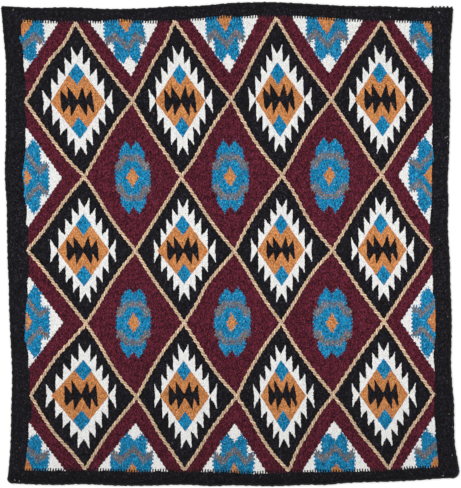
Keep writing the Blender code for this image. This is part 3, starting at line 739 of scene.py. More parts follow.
print("medallion diamonds:", len(medallion_hand), "and cells along the border:", len(border_hand))

# %% Placing a figure
def by_hand(outline, parts, lean, width):
    """An outline as the hand wove it: its parts longer or shorter, its top and foot leaning, in millimetres."""
    left, right, up, down = (*parts, 1.0)[:4]
    drawn = [(x * (right if x > 0 else left), y * (up if y > 0 else down)) for x, y in outline]
    return [(x + (lean[0] if y > 0 else -lean[1]) * y / 1000 / width, y) for x, y in drawn]


def placed(root, across, up, size, outline):
    """A figure's outline on the blanket, from its middle and its two directions."""
    return [root + across * (x * size[0]) + up * (y * size[1]) for x, y in outline]


def middle_of(corners, shift):
    return sum(corners, Vector((0, 0))) / 4 + Vector(shift) / 1000


along_x, along_y = Vector((1, 0)), Vector((0, 1))
cells = []  # the name of the piece, its ring of lines, its ground, and the figures on it
print("a heart, leaning:", [(round(x, 2), y) for x, y in by_hand(diamond, (1, 1, 1), (2, 0), heart_size[0])])

# %% Eye diamonds
usual_width, usual_height = 0.1943, 0.3058  # of an eye diamond's cell
pupil_fill = 0.985  # how much of its height a pupil keeps inside the eye's tip


def eye_cell(name, *crossings):
    """The figures grow with their cell: the eye in both directions, the burst and the bar only in width."""
    corners = [rows[v][k] for v, k in crossings]
    shift, burst_parts, burst_lean, eye_parts, eye_lean, bar_parts, bar_shift, pupil = eye_hand[name]
    middle = middle_of(corners, shift)
    lean = (corners[0] - corners[2]).normalized()
    wide, tall = (corners[1].x - corners[3].x) / usual_width, (corners[0].y - corners[2].y) / usual_height
    right, rise = along_x * wide, lean * tall
    burst_outline = by_hand(burst, burst_parts, burst_lean, burst_size[0] * wide)
    figures = [(placed(middle, right, lean, burst_size, burst_outline), "white")]
    for reach in (burst_parts[1], -burst_parts[0]):
        figures.append((placed(middle, right * reach, lean, wing_size, wing), "white"))
    eye_outline = by_hand(diamond, eye_parts, eye_lean, eye_size[0] * wide)
    figures.append((placed(middle, right, rise, eye_size, eye_outline), "orange"))
    half_width = pupil_size[0] * pupil * (eye_parts[0] + eye_parts[1]) / 2
    half_height = pupil_size[1] * pupil
    for tip in (eye_outline[0], eye_outline[2]):
        share = 1 - half_height * pupil_fill / (eye_size[1] * abs(tip[1]))
        root = middle + (right * (tip[0] * eye_size[0]) + rise * (tip[1] * eye_size[1])) * share
        figures.append((placed(root, right, rise, (half_width, half_height), diamond), "turquoise"))
    own_size = bar_size[0] * bar_parts[0], bar_size[1] * bar_parts[1]
    figures.append((placed(middle + Vector(bar_shift) / 1000, right, lean, own_size, bar), "black"))
    cells.append((name, ring(*crossings), "black", figures))


for word, v in (("far", 1), ("middle", 3), ("near", 5)):
    for k in range(4):
        eye_cell(f"eye_diamond_{word}_{k + 1}", (v - 1, k), (v, k + 1), (v + 1, k), (v, k))
print(len(cells), "eye diamonds, with", sum(len(figures) for *_, figures in cells), "figures")

# %% Medallion diamonds
lower_band = [(x, -y) for x, y in band]


def medallion_cell(name, *crossings):
    """A medallion with its bands and its heart, upright in the middle of its cell."""
    shift, parts, lean, (heart_width, heart_height) = medallion_hand[name]
    middle = middle_of([rows[v][k] for v, k in crossings], shift)
    figures = []
    for shape, dye in (medallion, "turquoise toothed"), (band, "grey toothed"), (lower_band, "grey toothed"):
        drawn = by_hand(shape, parts, lean, medallion_size[0])
        figures.append((placed(middle, along_x, along_y, medallion_size, drawn), dye))
    heart = heart_size[0] * heart_width, heart_size[1] * heart_height
    figures.append((placed(middle, along_x, along_y, heart, diamond), "orange toothed"))
    cells.append((name, ring(*crossings), "burgundy", figures))


for word, v in (("far", 2), ("near", 4)):
    for k in range(3):
        medallion_cell(f"medallion_diamond_{word}_{k + 1}", (v - 1, k + 1), (v, k + 1), (v + 1, k + 1), (v, k))
print(len(medallion_hand), "medallion diamonds")

# %% Cells along the border
past = 0.012  # they run on past the border's line, which cuts them off


def border_cell(name, place, outline, root, apex, across, figure, bands, heart):
    """A cell cut off by the border. Its figures start at their root and lean toward the cell's apex."""
    rise = apex - root
    up = rise / abs(rise.cross(across))
    shift, white_parts, white_lean, parts, lean, (heart_width, heart_height) = border_hand[name]
    root = root + Vector(shift) / 1000
    white_size, size, heart_size = border_sizes[place]
    heart_size = heart_size[0] * heart_width, heart_size[1] * heart_height
    white = by_hand(white_cone, white_parts, (white_lean, 0), white_size[0])
    figures = [(placed(root, across, up, white_size, white), "white stepped")]
    for shape, dye in ((figure, "turquoise toothed"), *((shape, "grey toothed") for shape in bands)):
        figures.append((placed(root, across, up, size, by_hand(shape, parts, (lean, 0), size[0])), dye))
    figures.append((placed(root, across, up, heart_size, heart), "orange toothed"))
    cells.append((name, outline, "burgundy", figures))


print("border cells reach", round(1000 * past), "mm under the border")

# %% End, side and corner cells
for k in range(3):
    for word, v, w, out in (("far", 0, 1, past), ("near", 6, 5, -past)):
        a, b, beyond = rows[v][k], rows[v][k + 1], along_y * out
        line = [a, a + beyond, b + beyond] + bent((v, k + 1), (w, k + 1)) + bent((w, k + 1), (v, k))
        border_cell(f"end_triangle_{word}_{k + 1}", word + " end", line, (a + b) / 2, rows[w][k + 1],
                    along_x, end_medallion, [end_band], end_heart)
for hand, out in (("left", -past), ("right", past)):
    for word, v in (("far", 1), ("near", 3)):
        top, tip, bottom = ((w, 0 if out < 0 else len(rows[w]) - 1) for w in (v, v + 1, v + 2))
        a, apex, b = (rows[w][k] for w, k in (top, tip, bottom))
        line = [b + along_x * out, a + along_x * out] + bent(top, tip) + bent(tip, bottom) + [b]
        border_cell(f"side_triangle_{hand}_{word}", word + " side", line, (a + b) / 2, apex,
                    along_y, side_medallion, [side_band, other_side_band], side_heart)
for name, root, over, down, out in zip(corner_names, (far_left, far_right, near_right, near_left),
                                       ((0, 0), (0, 3), (6, 3), (6, 0)), ((1, 0), (1, 4), (5, 4), (5, 0)),
                                       ((-past, past), (past, past), (past, -past), (-past, -past))):
    start, stop = (rows[v][k] for v, k in (over, down))
    line = [root + Vector(out), start + along_y * out[1]] + bent(over, down) + [stop, stop + along_x * out[0]]
    border_cell(f"corner_triangle_{name}", name.split("_")[1] + " corner", line, root, stop,
                along_x, end_medallion, [end_band], end_heart)
print(len(cells), "cells")

# %% [markdown]
# ## Weaving the cloth
#
# In this weave each warp makes a rib, and the wefts show on it as a row of beads, one for every second pass. Beads
# on the next rib sit half a bead further on, as in a brick wall. That rule is the shape of the cloth, so a geometry
# tree makes it: a grid with two faces across each rib and two along each bead, stretched between the four bowed
# edges, raised on the ribs, and pinched where one bead meets the next. Two more inputs press a groove where the tan
# outlines will lie, and thin the cloth toward its edges.

# %% The weave: a grid between four edges
loose_size = 26.0  # how many times a metre the cloth wanders

weave = GeometryPlan("weave", {
    "Warps": int, "Beads": int, "Face height": float, "Rib depth": float, "Bead depth": float,
    "Outlines": "object", "Groove half width": float, "Groove shoulder": float, "Groove height": float,
    "Edge reach": float, "Edge drop": float, "Wander": float, "Thin spots": float, "Seed": int,
    "Yarn": "material"})

columns, steps = weave["Warps"] * 2, weave["Beads"] * 2
grid = weave.node("GeometryNodeMeshGrid", (), {"Size X": 1.0, "Size Y": 1.0, "Vertices X": columns + 1,
                                               "Vertices Y": steps + 1})
u, v, _ = weave.split(weave.place())
u, v = u + 0.5, v + 0.5


def edge_point(number, factor):
    """A point on one of the four edges: near 0, far 1, left 2, right 3."""
    return weave.node("GeometryNodeSampleCurve", {"mode": "FACTOR", "data_type": "FLOAT"},
                      {"Curves": weave["Geometry"], "Factor": factor, "Curve Index": number}, "Position")


def blended(a, b, share):
    return weave.node("ShaderNodeMix", {"data_type": "VECTOR"}, {0: share, 4: a, 5: b}, 1)


between_ends = blended(edge_point(0, u), edge_point(1, u), v)
between_sides = blended(edge_point(2, v), edge_point(3, v), u)
from_corners = blended(blended(edge_point(0, 0.0), edge_point(0, 1.0), u),
                       blended(edge_point(1, 0.0), edge_point(1, 1.0), u), v)
flat_place = weave.vectors("SUBTRACT", weave.vectors("ADD", between_ends, between_sides), from_corners)
print("the stretched grid takes", len(weave.tree.nodes), "nodes")

# %% The weave: ribs, beads and grooves
column, step = weave.maths("ROUND", u * columns), weave.maths("ROUND", v * steps)
warp = weave.maths("FLOOR", column / 2)
on_rib = column % 2
bead_middle = (step + warp % 2) % 2
relief = weave["Rib depth"] * (1 - on_rib) + weave["Bead depth"] * on_rib * (1 - bead_middle)

drawn = weave.node("GeometryNodeObjectInfo", (), {0: weave["Outlines"]}, "Geometry")
groove = weave.ramp(weave.distance(drawn, flat_place), weave["Groove half width"],
                    weave["Groove half width"] + weave["Groove shoulder"], 1, 0)
rim = weave.ramp(weave.distance(weave["Geometry"], flat_place), 0.0, weave["Edge reach"], 1, 0)

loose = weave.node("ShaderNodeTexNoise", {"noise_dimensions": "4D"},
                   {"Vector": flat_place, "W": weave["Seed"], "Scale": loose_size, "Detail": 2.0}, "Color")
sway_x, sway_y, dip = weave.split(weave.vectors("SUBTRACT", loose, (0.5, 0.5, 0.5)))
free = 1 - rim
height = weave["Face height"] - relief * (1 - groove) - weave["Edge drop"] * rim
height = height - weave["Thin spots"] * weave.maths("ABSOLUTE", dip) * free
height = height * (1 - groove) + weave["Groove height"] * groove
x, y, _ = weave.split(flat_place)
place = weave.join(x + sway_x * weave["Wander"] * free, y + sway_y * weave["Wander"] * free, height)
weave.finish(weave.moved(grid, Position=place), weave["Yarn"])
print("the weave tree has", len(weave.tree.nodes), "nodes")


# %% Drawing the guide lines
def drawn_curve(name, paths):
    """Open curves through points of x, y, z and a radius."""
    data = bpy.data.curves.new(name, "CURVE")
    data.dimensions = "3D"
    for path in paths:
        spline = data.splines.new("POLY")
        spline.points.add(len(path) - 1)
        for knot, (px, py, pz, radius) in zip(spline.points, path):
            knot.co = (px, py, pz, 1)
            knot.radius = radius
    return add_object(name, data)


def flat(points, z=0.0, radius=1.0):
    return [(p.x, p.y, z, radius) for p in points]


def path_length(points):
    return sum((b - a).length for a, b in zip(points, points[1:]))


cloth_inset = 0.0046
cloth_corner_inset = 0.0048
left_edge, far_edge, right_edge, near_edge = (flat(edge_path(number, cloth_inset, cloth_corner_inset, 0.5))
                                              for number in range(4))
cloth_edges = drawn_curve("cloth_edges", [near_edge[::-1], far_edge, left_edge, right_edge[::-1]])
print("four edges of", len(left_edge), "points")

# %% Following the tan lines
# Each chain is one line's crossings down the blanket, with the way that it leans: 1 to the right, -1 to the left.
chains = []
for way in (1, -1):
    starts = [(0, k) for k in range(4)] + [(v, 0 if way == 1 else 4) for v in (1, 3, 5)]
    for v, k in starts:
        chain = []
        while v < 7 and 0 <= k < len(rows[v]):
            chain.append((v, k))
            if way == 1:
                k += v % 2 == 0
            else:
                k -= v % 2
            v += 1
        if len(chain) > 1:
            chains.append((way, chain))
outline_lines = [[spot for a, b in zip(chain, chain[1:]) for spot in bent(a, b)]
                 + [rows[chain[-1][0]][chain[-1][1]]] for _, chain in chains]
outline_guides = drawn_curve("outline_guides", [flat(line) for line in outline_lines])
print(len(chains), "tan lines, in all", round(sum(path_length(line) for line in outline_lines), 2), "m")

# %% Weave it
def numbers(data, field, width=1, kind=np.float32):
    """Reads one property of many vertices, edges or loops into an array of rows."""
    found = np.empty(width * len(data), kind)
    data.foreach_get(field, found)
    return found.reshape(-1, width) if width > 1 else found


warps = 340
beads = 240
cloth_thickness = 0.007
woven = weave.make("weave", cloth_edges, {
    "Warps": warps, "Beads": beads, "Face height": cloth_thickness, "Rib depth": 0.001, "Bead depth": 0.0008,
    "Outlines": outline_guides, "Groove half width": 0.0031, "Groove shoulder": 0.0015, "Groove height": 0.0045,
    "Edge reach": 0.004, "Edge drop": 0.0011, "Wander": 0.0022, "Thin spots": 0.0008, "Seed": 7,
    "Yarn": cloth_wool})
across, up = 2 * warps + 1, 2 * beads + 1
face_points = numbers(woven.data.vertices, "co", 3).reshape(across, up, 3).astype(float)
bpy.data.objects.remove(woven)
bpy.data.objects.remove(outline_guides)
print("woven face:", across * up, "points, ribs", round(1000 * np.ptp(face_points[:, 0, 0]) / warps, 2),
      "mm apart, heights", face_points[..., 2].min().round(4), "to", face_points[..., 2].max().round(4))

# %% [markdown]
# ## Colouring bead by bead
#
# A tapestry's pattern is drawn in whole beads, as each bead is one turn of one yarn round one warp. So every bead
# looks up which figure its middle lies in, and takes that yarn. Where a colour changes along a row, beads of the two
# yarns interlock in a comb of short teeth, and a small push up or down on every other warp gives those teeth. Up a
# medallion's side the two yarns turn back round different warps on every other pass, which is a push left or right. The
# slanted sides of the white grounds climb in steps two warps wide, so there both warps of a pair look up almost the
# same place. The beads of the underside sit half a bead further on, and look up the same pattern.

# %% Inside an outline
def within(x, y, outline):
    """Which of many places lie inside a closed outline."""
    found = np.zeros(x.shape, bool)
    a = outline[-1]
    for b in outline:
        if a[1] != b[1]:
            found ^= ((a[1] > y) != (b[1] > y)) & (x < a[0] + (b[0] - a[0]) * (y - a[1]) / (b[1] - a[1]))
        a = b
    return found


print("the border's inner edge holds the middle:", bool(within(np.zeros(1), np.zeros(1), field)[0]))

# %% Warps, beads and faces
column_warp = np.arange(2 * warps) // 2
row_number = np.arange(2 * beads)
warp_index = np.broadcast_to(column_warp[:, None], (2 * warps, 2 * beads))
face_middles = (face_points[:-1, :-1] + face_points[1:, :-1] + face_points[:-1, 1:] + face_points[1:, 1:]) / 4
face_x, face_y = face_middles[..., 0], face_middles[..., 1]
pair_x = face_x.reshape(warps // 2, 4, 2 * beads).mean(axis=1).repeat(4, axis=0)


def beads_of(odd):
    """The number of the bead that each face of the grid is part of, where odd warps sit half a bead lower."""
    return (row_number[None, :] + (column_warp % 2 == odd)[:, None]) // 2


face_bead, under_bead = beads_of(1), beads_of(0)
print("each side of the grid has", face_x.size, "faces")

# %% Looking up the pattern
tooth = 0.0052
side_tooth = 0.0024
border_tooth = 0.0046
flat_reach = 0.0022  # a colour change is level where it goes on this far to both sides


def look_up(odd):
    """For each face of the grid, the number of its cell, or -1 on the border, and the name of its yarn."""
    comb = np.where(warp_index % 2 == odd, 0.5, -0.5)
    turn_back = np.where(beads_of(odd) % 2, 0.5, -0.5) * side_tooth
    in_cells = within(face_x, face_y + comb * border_tooth, field)
    cell_of = np.full(face_x.shape, -1)
    yarn_of = np.full(face_x.shape, "black", dtype="<U9")
    for number, (_, outline, ground, figures) in enumerate(cells):
        low, high = np.min(outline, axis=0), np.max(outline, axis=0)
        near = np.nonzero((face_x > low[0]) & (face_x < high[0]) & (face_y > low[1]) & (face_y < high[1]))
        x, y = face_x[near], face_y[near]
        toothed = y + comb[near] * tooth
        here = within(x, y, outline) & in_cells[near]
        cell_of[near] = np.where(here, number, cell_of[near])
        yarn = np.where(here, ground, yarn_of[near])
        for shape, dye in figures:
            hit = within((x + pair_x[near]) / 2 if "stepped" in dye else x, y, shape)
            if "toothed" in dye:
                hit = within(x + turn_back[near], y, shape)
                flat_here = within(x - flat_reach, y, shape) == within(x + flat_reach, y, shape)
                hit = np.where(flat_here, within(x, toothed, shape), hit)
            yarn = np.where(hit & here, dye.split()[0], yarn)
        yarn_of[near] = yarn
    # Grey is two yarns, pick and pick: a blue grey on one warp, and a fawn on the next.
    yarn_of[(yarn_of == "grey") & (warp_index % 2 == odd)] = "fawn"
    return cell_of, yarn_of


cell_of, face_yarn = look_up(1)
_, under_yarn = look_up(0)
print({name: int((face_yarn == name).sum()) for name in dyes if (face_yarn == name).any()}, "faces")

# %% Lots of dye
# Every bead takes the dye a little differently. For each yarn: how much its shade varies, how much from warp to warp,
# and the other dye shots that are carded into it, each with its share of the wool. The shade varies most within a
# bead, where the plies and fibres differ.
whole_bead = 0.6
within_bead = 1.5
dye_lots = {
    "black": (0.56, 0.08, (((48, 43, 50), 0.1), ((26, 24, 44), 0.1), ((92, 88, 94), 0.0006))),
    "burgundy": (0.36, 0.07, (((58, 18, 33), 0.2), ((100, 38, 60), 0.18), ((94, 28, 36), 0.1))),
    "turquoise": (0.22, 0.02, (((4, 94, 146), 0.18), ((46, 148, 196), 0.14), ((92, 164, 192), 0.06))),
    "orange": (0.14, 0.02, (((184, 104, 52), 0.16), ((222, 156, 98), 0.18))),
    "white": (0.015, 0.008, (((222, 219, 214), 0.12),)),
    "grey": (0.14, 0.02, (((60, 112, 154), 0.3), ((138, 112, 98), 0.12), ((170, 176, 180), 0.05))),
    "fawn": (0.12, 0.02, (((106, 88, 84), 0.25), ((90, 120, 142), 0.14), ((180, 160, 140), 0.1))),
}
print("most varied:", max(dye_lots, key=dye_lots.get))

# %% Painted light falloff
# The wool is painted darker toward the ends of the blanket, most toward the near end, as shade where the light falls
# off; the dyed yarns more than the white.
falloff_places = (-0.015, 0.01, 0.12, 0.3, 0.5, 0.75, 1)
falloff_levels = (0.55, 0.76, 0.84, 0.97, 1.02, 1.0, 0.92)
white_falloff = 0.45


def painted_falloff(y):
    """How much light the painted shade leaves the wool at a place along the blanket, as a share of its dye."""
    return np.interp((y - field_near) / (field_far - field_near), falloff_places, falloff_levels)


print("at the fold the wool keeps", round(float(painted_falloff(0.0)), 2), "of its light")

# %% Dye every bead
least_light, most_light, palest = 0.15, 2.2, 0.92
rim_shade = 0.7  # the last warp and the last bead lie low, in the crease beside the edge cord


def dyed(yarn_of, bead, seed):
    """The colour of each face of the grid: its yarn's dye as its own bead took it, with the painted shade toward the
    ends, in linear values.
    """
    luck = np.random.default_rng(seed)
    whole = (warps, beads + 1)
    depth_of_bead = luck.normal(size=whole)
    depth_of_warp = luck.normal(size=(warps, 1)) * np.ones(whole)
    fleck, shot_luck = luck.normal(size=yarn_of.shape), luck.random(yarn_of.shape)
    spot = warp_index, bead
    colour = np.zeros((*yarn_of.shape, 3))
    for name, (vary, by_warp, shots) in dye_lots.items():
        pick = shot_luck.copy()
        own = np.broadcast_to(np.array(dyes[name], float), colour.shape).copy()
        for shot, share in shots:
            own[pick < share] = shot
            pick = np.where(pick < share, 2, pick - share)
        depth = 1 + vary * (whole_bead * depth_of_bead[spot] + within_bead * fleck) + by_warp * depth_of_warp[spot]
        # Painted shade: the wool is darker toward the ends, where the light falls off.
        depth = depth * painted_falloff(face_y) ** (white_falloff if name == "white" else 1)
        light = np.clip(depth, least_light, most_light)[..., None]
        colour = np.where((yarn_of == name)[..., None], daylight(own) * light, colour)
    return np.clip(colour, 0, palest)


face_shade, under_shade = dyed(face_yarn, face_bead, seed=11), dyed(under_yarn, under_bead, seed=12)
for shade in face_shade, under_shade:
    for last in (slice(2), slice(-2, None)):
        shade[last] *= rim_shade
        shade[:, last] *= rim_shade
print("mean colour", np.round(face_shade.mean(axis=(0, 1)), 3))

# %% [markdown]
# ## Cutting the cloth into its colour areas
#
# The solid model has one piece for each diamond and triangle of the lattice and for each strip of the border, and
# the dressed blanket keeps those pieces. Here each piece is a closed sheet of its own: its part of the face, the
# same part of the underside, and a narrow wall round them. The underside is the face turned over, half a bead
# further on. Walls follow the sides of beads, so neighbouring areas interlock as real ones do.

# %% Which face of the grid belongs to which piece
border_reach = 0.006  # how far into the field an end strip of the border may reach

piece_names = [name for name, *_ in cells] + ["end_border_far", "end_border_near", "side_border_left",
                                              "side_border_right"]
side_share = np.clip((face_x - far_left.x) / (far_right.x - far_left.x), 0, 1)
far_border_line = far_left.y + side_share * (far_right.y - far_left.y)
near_border_line = near_left.y + side_share * (near_right.y - near_left.y)
strip = np.select([face_y > far_border_line - border_reach, face_y < near_border_line + border_reach, face_x < 0],
                  [0, 1, 2], 3)
piece_of = np.where(cell_of >= 0, cell_of, len(cells) + strip)

under_points = face_points.copy()
under_points[:, :-1, 2] = face_points[:, 1:, 2]
under_points[..., 2] = cloth_thickness - under_points[..., 2]
print("thinnest cloth", round(1000 * float((face_points[..., 2] - under_points[..., 2]).min()), 2), "mm")

# %% Cutting out one area
point_number = np.arange(across * up).reshape(across, up)
next_faces = ((0, -1), (1, 0), (0, 1), (-1, 0))


def cut_out(c, r, mine):
    """The points used by the faces in columns c and rows r, each face's corners among them, the walls on the open
    sides, and the face above each wall."""
    corners = np.stack((point_number[c, r], point_number[c + 1, r], point_number[c + 1, r + 1], point_number[c, r + 1]),
                       axis=1)
    used, local = np.unique(corners, return_inverse=True)
    top, count, ringed = local.reshape(-1, 4), len(used), np.pad(mine, 1)
    walls, wall_of = [], []
    for side, (dc, dr) in enumerate(next_faces):
        open_side = np.nonzero(~ringed[c + 1 + dc, r + 1 + dr])[0]
        a, b = top[open_side, side], top[open_side, (side + 1) % 4]
        walls.append(np.stack((b, a, a + count, b + count), axis=1))
        wall_of.append(open_side)
    return used, top, np.concatenate(walls), np.concatenate(wall_of)


print("the grid has", point_number.size, "points on each side")

# %% Walls that don't touch
wall_shrink = 0.07  # neighbours' walls draw apart by this share of a face, so that they don't touch
wall_shade = 0.8


def shrunk(upper, lower, top, rim):
    """Draws the rim of both sides in toward the faces that it belongs to."""
    middles, total, share = upper[top].mean(axis=1), np.zeros(upper.shape), np.zeros(len(upper))
    for k in range(4):
        np.add.at(total, top[:, k], middles)
        np.add.at(share, top[:, k], 1)
    inward = (total / share[:, None] - upper)[rim, :2] * wall_shrink
    for side in upper, lower:
        side[rim, :2] += inward


print("a wall keeps", wall_shade, "of the light on the face above it")


# %% From arrays to a mesh
def paint(mesh, colours):
    """Gives each corner of a mesh its colour, for the wool to read."""
    rgba = np.concatenate((colours, np.ones((len(colours), 1))), axis=1)
    layer = mesh.color_attributes.new("yarn_colour", "FLOAT_COLOR", "CORNER")
    layer.data.foreach_set("color", rgba.astype(np.float32).ravel())


def quad_mesh(name, points, faces):
    """A smooth mesh of four-cornered faces."""
    mesh = bpy.data.meshes.new(name)
    mesh.vertices.add(len(points))
    mesh.vertices.foreach_set("co", points.astype(np.float32).ravel())
    mesh.loops.add(faces.size)
    mesh.loops.foreach_set("vertex_index", faces.astype(np.int32).ravel())
    mesh.polygons.add(len(faces))
    mesh.polygons.foreach_set("loop_start", np.arange(0, faces.size, 4, dtype=np.int32))
    mesh.update(calc_edges=True)
    mesh.polygons.foreach_set("use_smooth", np.ones(len(faces), bool))
    return mesh


def triangles(piece):
    return sum(len(face.vertices) - 2 for face in piece.data.polygons)


print("the floor has", triangles(floor), "triangles")


# %% Sewing a closed sheet
def closed_sheet(name, mine):
    """A closed mesh of the grid's faces where mine is true, with each bead's colour, and its flat area."""
    c, r = np.nonzero(mine)
    used, top, walls, wall_of = cut_out(c, r, mine)
    count, rim = len(used), np.unique(walls[:, :2])
    upper, lower = face_points.reshape(-1, 3)[used], under_points.reshape(-1, 3)[used]
    shrunk(upper, lower, top, rim)
    faces = np.concatenate((top, top[:, ::-1] + count, walls))
    mesh = quad_mesh(name, np.concatenate((upper, lower)), faces)
    shade = np.concatenate((face_shade[c, r], under_shade[c, r], face_shade[c, r][wall_of] * wall_shade))
    paint(mesh, np.repeat(shade, 4, axis=0))

    # The edges between face and wall are sharp.
    on_rim = np.zeros(2 * count, bool)
    on_rim[rim] = on_rim[rim + count] = True
    ends = numbers(mesh.edges, "vertices", 2, np.int32)
    level_edge = (ends[:, 0] < count) == (ends[:, 1] < count)
    sharp = mesh.attributes.new("sharp_edge", "BOOLEAN", "EDGE")
    sharp.data.foreach_set("value", on_rim[ends].all(axis=1) & level_edge)
    mesh.materials.append(cloth_wool)

    (ax, ay), (bx, by) = ((upper[top[:, k + 2], :2] - upper[top[:, k], :2]).T for k in (0, 1))
    return add_object(name, mesh), float(np.abs(ax * by - ay * bx).sum() / 2)


sheets = {name: closed_sheet(name, piece_of == number) for number, name in enumerate(piece_names)}
finest = max((piece for piece, _ in sheets.values()), key=triangles)
print(len(sheets), "sheets of cloth, the finest", finest.name, "with", triangles(finest), "triangles")

# %% [markdown]
# ## Twisted cords
#
# A cord is two or three strands wound round each other. A geometry tree makes any of them: it copies the path once
# for each strand, moves each copy round the path as it goes along, sweeps a round section, and then presses the cord
# flat by the share that the path's radius gives. The tan outlines are two strands pressed into the cloth, the edge
# cords are three round strands, and a whipping is one thin yarn wound in a wide coil.

# %% The paths of the strands
cord = GeometryPlan("cord", {"Strands": int, "Turn": float, "Strand thickness": float, "Spread": float,
                             "Points a turn": int, "Sides": int, "Start": float, "Yarn": "material"})
pressed = cord.store(cord["Geometry"], "press", cord.node("GeometryNodeInputRadius"))
even = cord.node("GeometryNodeSetCurveRadius", (), {0: pressed, "Radius": 1.0})
copies = cord.node("GeometryNodeDuplicateElements", {"domain": "SPLINE"},
                   {"Geometry": even, "Amount": cord["Strands"]})
numbered = cord.store(copies, "strand", copies.out("Duplicate Index"))
fine = cord.node("GeometryNodeResampleCurve", {"mode": "LENGTH"},
                 {"Curve": numbered, "Length": cord["Turn"] / cord["Points a turn"]})
measured = cord.store(fine, "middle_height", cord.split(cord.place())[2])
print("the paths of the strands take", len(cord.tree.nodes), "nodes")

# %% Winding and pressing the strands
turned = (cord.node("GeometryNodeSplineParameter", output="Length") / cord["Turn"]
          + cord.stored("strand") / cord["Strands"] + cord["Start"]) * (2 * math.pi)
heading = cord.node("GeometryNodeInputTangent")
sideways = cord.vectors("NORMALIZE", cord.vectors("CROSS_PRODUCT", heading, (0, 0, 1)))
upward = cord.vectors("CROSS_PRODUCT", sideways, heading)
swing = cord.scaled(sideways, cord.maths("COSINE", turned) * cord["Spread"])
rise = cord.scaled(upward, cord.maths("SINE", turned) * cord["Spread"])
wound = cord.moved(measured, Offset=cord.vectors("ADD", swing, rise))
section = cord.node("GeometryNodeCurvePrimitiveCircle", {"mode": "RADIUS"},
                    {"Resolution": cord["Sides"], "Radius": cord["Strand thickness"] / 2})
swept = cord.node("GeometryNodeCurveToMesh", (), {"Curve": wound, "Profile Curve": section, "Fill Caps": True})
px, py, pz = cord.split(cord.place())
flattened = cord.stored("middle_height") + (pz - cord.stored("middle_height")) * cord.stored("press")
cord.finish(cord.moved(swept, Position=cord.join(px, py, flattened)), cord["Yarn"])


def wind(name, paths, yarn, turn, thickness, spread=0.0, strands=1, points_a_turn=10, sides=6, start=0.0):
    """A cord along each path, as one plain mesh. Its strands are as thick as given, and this far from its middle."""
    return cord.make(name, drawn_curve(name + "_path", paths), {
        "Strands": strands, "Turn": turn, "Strand thickness": thickness, "Spread": spread,
        "Points a turn": points_a_turn, "Sides": sides, "Start": start, "Yarn": yarn})


print("the cord tree has", len(cord.tree.nodes), "nodes")

# %% [markdown]
# ## The tan outlines
#
# Along every line of the lattice the weaver wraps tan yarns over the face, which hides the steps between two colour
# areas. They read as two strands laid round each other, with a row of slanted knobs along each edge, and the line
# follows the steps a little. Where two lines cross, one passes over the other, so each is pressed thinner there and
# one rises while the other sinks. Shade in their creases is painted into their colour. The underside has the same
# lines.

# %% The path of an outline
outline_turn = 0.015
outline_press = 0.46
outline_wander = 0.0007
path_step = 0.0018
crossing_reach = 0.007
crossing_rise = 0.0008
end_dip_reach = 0.005
end_dip = 0.0014
thinner = 0.4  # the share of its height that a line loses at a crossing or an end


def outline_path(way, chain, level, turned_over):
    """One tan line as path points. It dips at its ends and weaves over and under the lines it crosses."""
    lengths = [(rows[w][j] - rows[v][k]).length for (v, k), (w, j) in zip(chain, chain[1:])]
    stops = [sum(lengths[:n]) for n in range(len(chain))]
    points = []
    for k, ((v, i), (w, j)) in enumerate(zip(chain, chain[1:])):
        steps = round(lengths[k] / path_step)
        square = square_to(rows[v][i], rows[w][j])
        for n in range(steps + (k == len(lengths) - 1)):
            spot, along = on_line((v, i), (w, j), n / steps), stops[k] + lengths[k] * n / steps
            spot = spot + square * (outline_wander * math.sin(2 * math.pi * along / outline_turn + 9 * v + 5 * i))
            height, press = level, outline_press
            for (row, _), stop in zip(chain[1:-1], stops[1:-1]):
                close = max(0.0, 1 - abs(along - stop) / crossing_reach)
                close = close * close * (3 - 2 * close)
                over = 1 if (row % 2 == 0) == (way == 1) else -1
                height += over * turned_over * crossing_rise * close
                press *= 1 - thinner * close
            end = max(0.0, 1 - min(along, stops[-1] - along) / end_dip_reach)
            height -= turned_over * end_dip * end * end
            points.append((spot.x, spot.y, height, press * (1 - thinner * end)))
    return points


print("the longest line takes", max(len(outline_path(*line, 0, 1)) for line in chains), "points")

# %% Two tones of tan
outline_tones = ((236, 207, 177), (221, 187, 153))
# Painted shade: how strongly the tan outlines take the painted light falloff toward the ends.
outline_falloff = 0.7
knobs = 400
knob_reach = 0.0035
knob_vary, fibre_vary = 0.13, 0.05
# Painted shade: the strands' low sides, in the creases, keep this share of their light.
painted_crease_shade = 0.76
crease_low, crease_height = 0.0004, 0.0016  # a crease starts this far under a cord's middle, and fades over this much


def strand_tones(piece, side):
    """Colours each strand of a cord in its own tone, a little lighter or darker from knob to knob, with painted shade
    in its creases and toward the blanket's ends.
    """
    mesh = piece.data
    strand = numbers(mesh.attributes["strand"].data, "value").astype(int)
    _, y, z = numbers(mesh.vertices, "co", 3).T
    luck = np.random.default_rng(5)
    knob_luck = luck.normal(size=(len(outline_tones), knobs))
    knob = np.floor((y + drop_length) / knob_reach).astype(int) % knobs
    out = side * (z - numbers(mesh.attributes["middle_height"].data, "value"))
    open_share = np.clip((out + crease_low) / crease_height, 0, 1)
    depth = 1 + knob_vary * knob_luck[strand, knob] + fibre_vary * luck.normal(size=len(strand))
    # Painted shade in the creases, where a strand dips under the other.
    depth *= painted_crease_shade + (1 - painted_crease_shade) * open_share
    # Painted shade toward the ends of the blanket, as on the cloth.
    tint = daylight(outline_tones)[strand] * (depth * painted_falloff(y) ** outline_falloff)[:, None]
    paint(mesh, np.clip(tint[numbers(mesh.loops, "vertex_index", kind=np.int32)], 0, 1))


print("tones of tan:", len(outline_tones))

# %% Lay the outlines in their grooves
outline_strand = 0.0033
outline_spread = 0.002
outline_levels = {"outline_cords_face": (0.00625, 1), "outline_cords_underside": (0.00156, -1)}

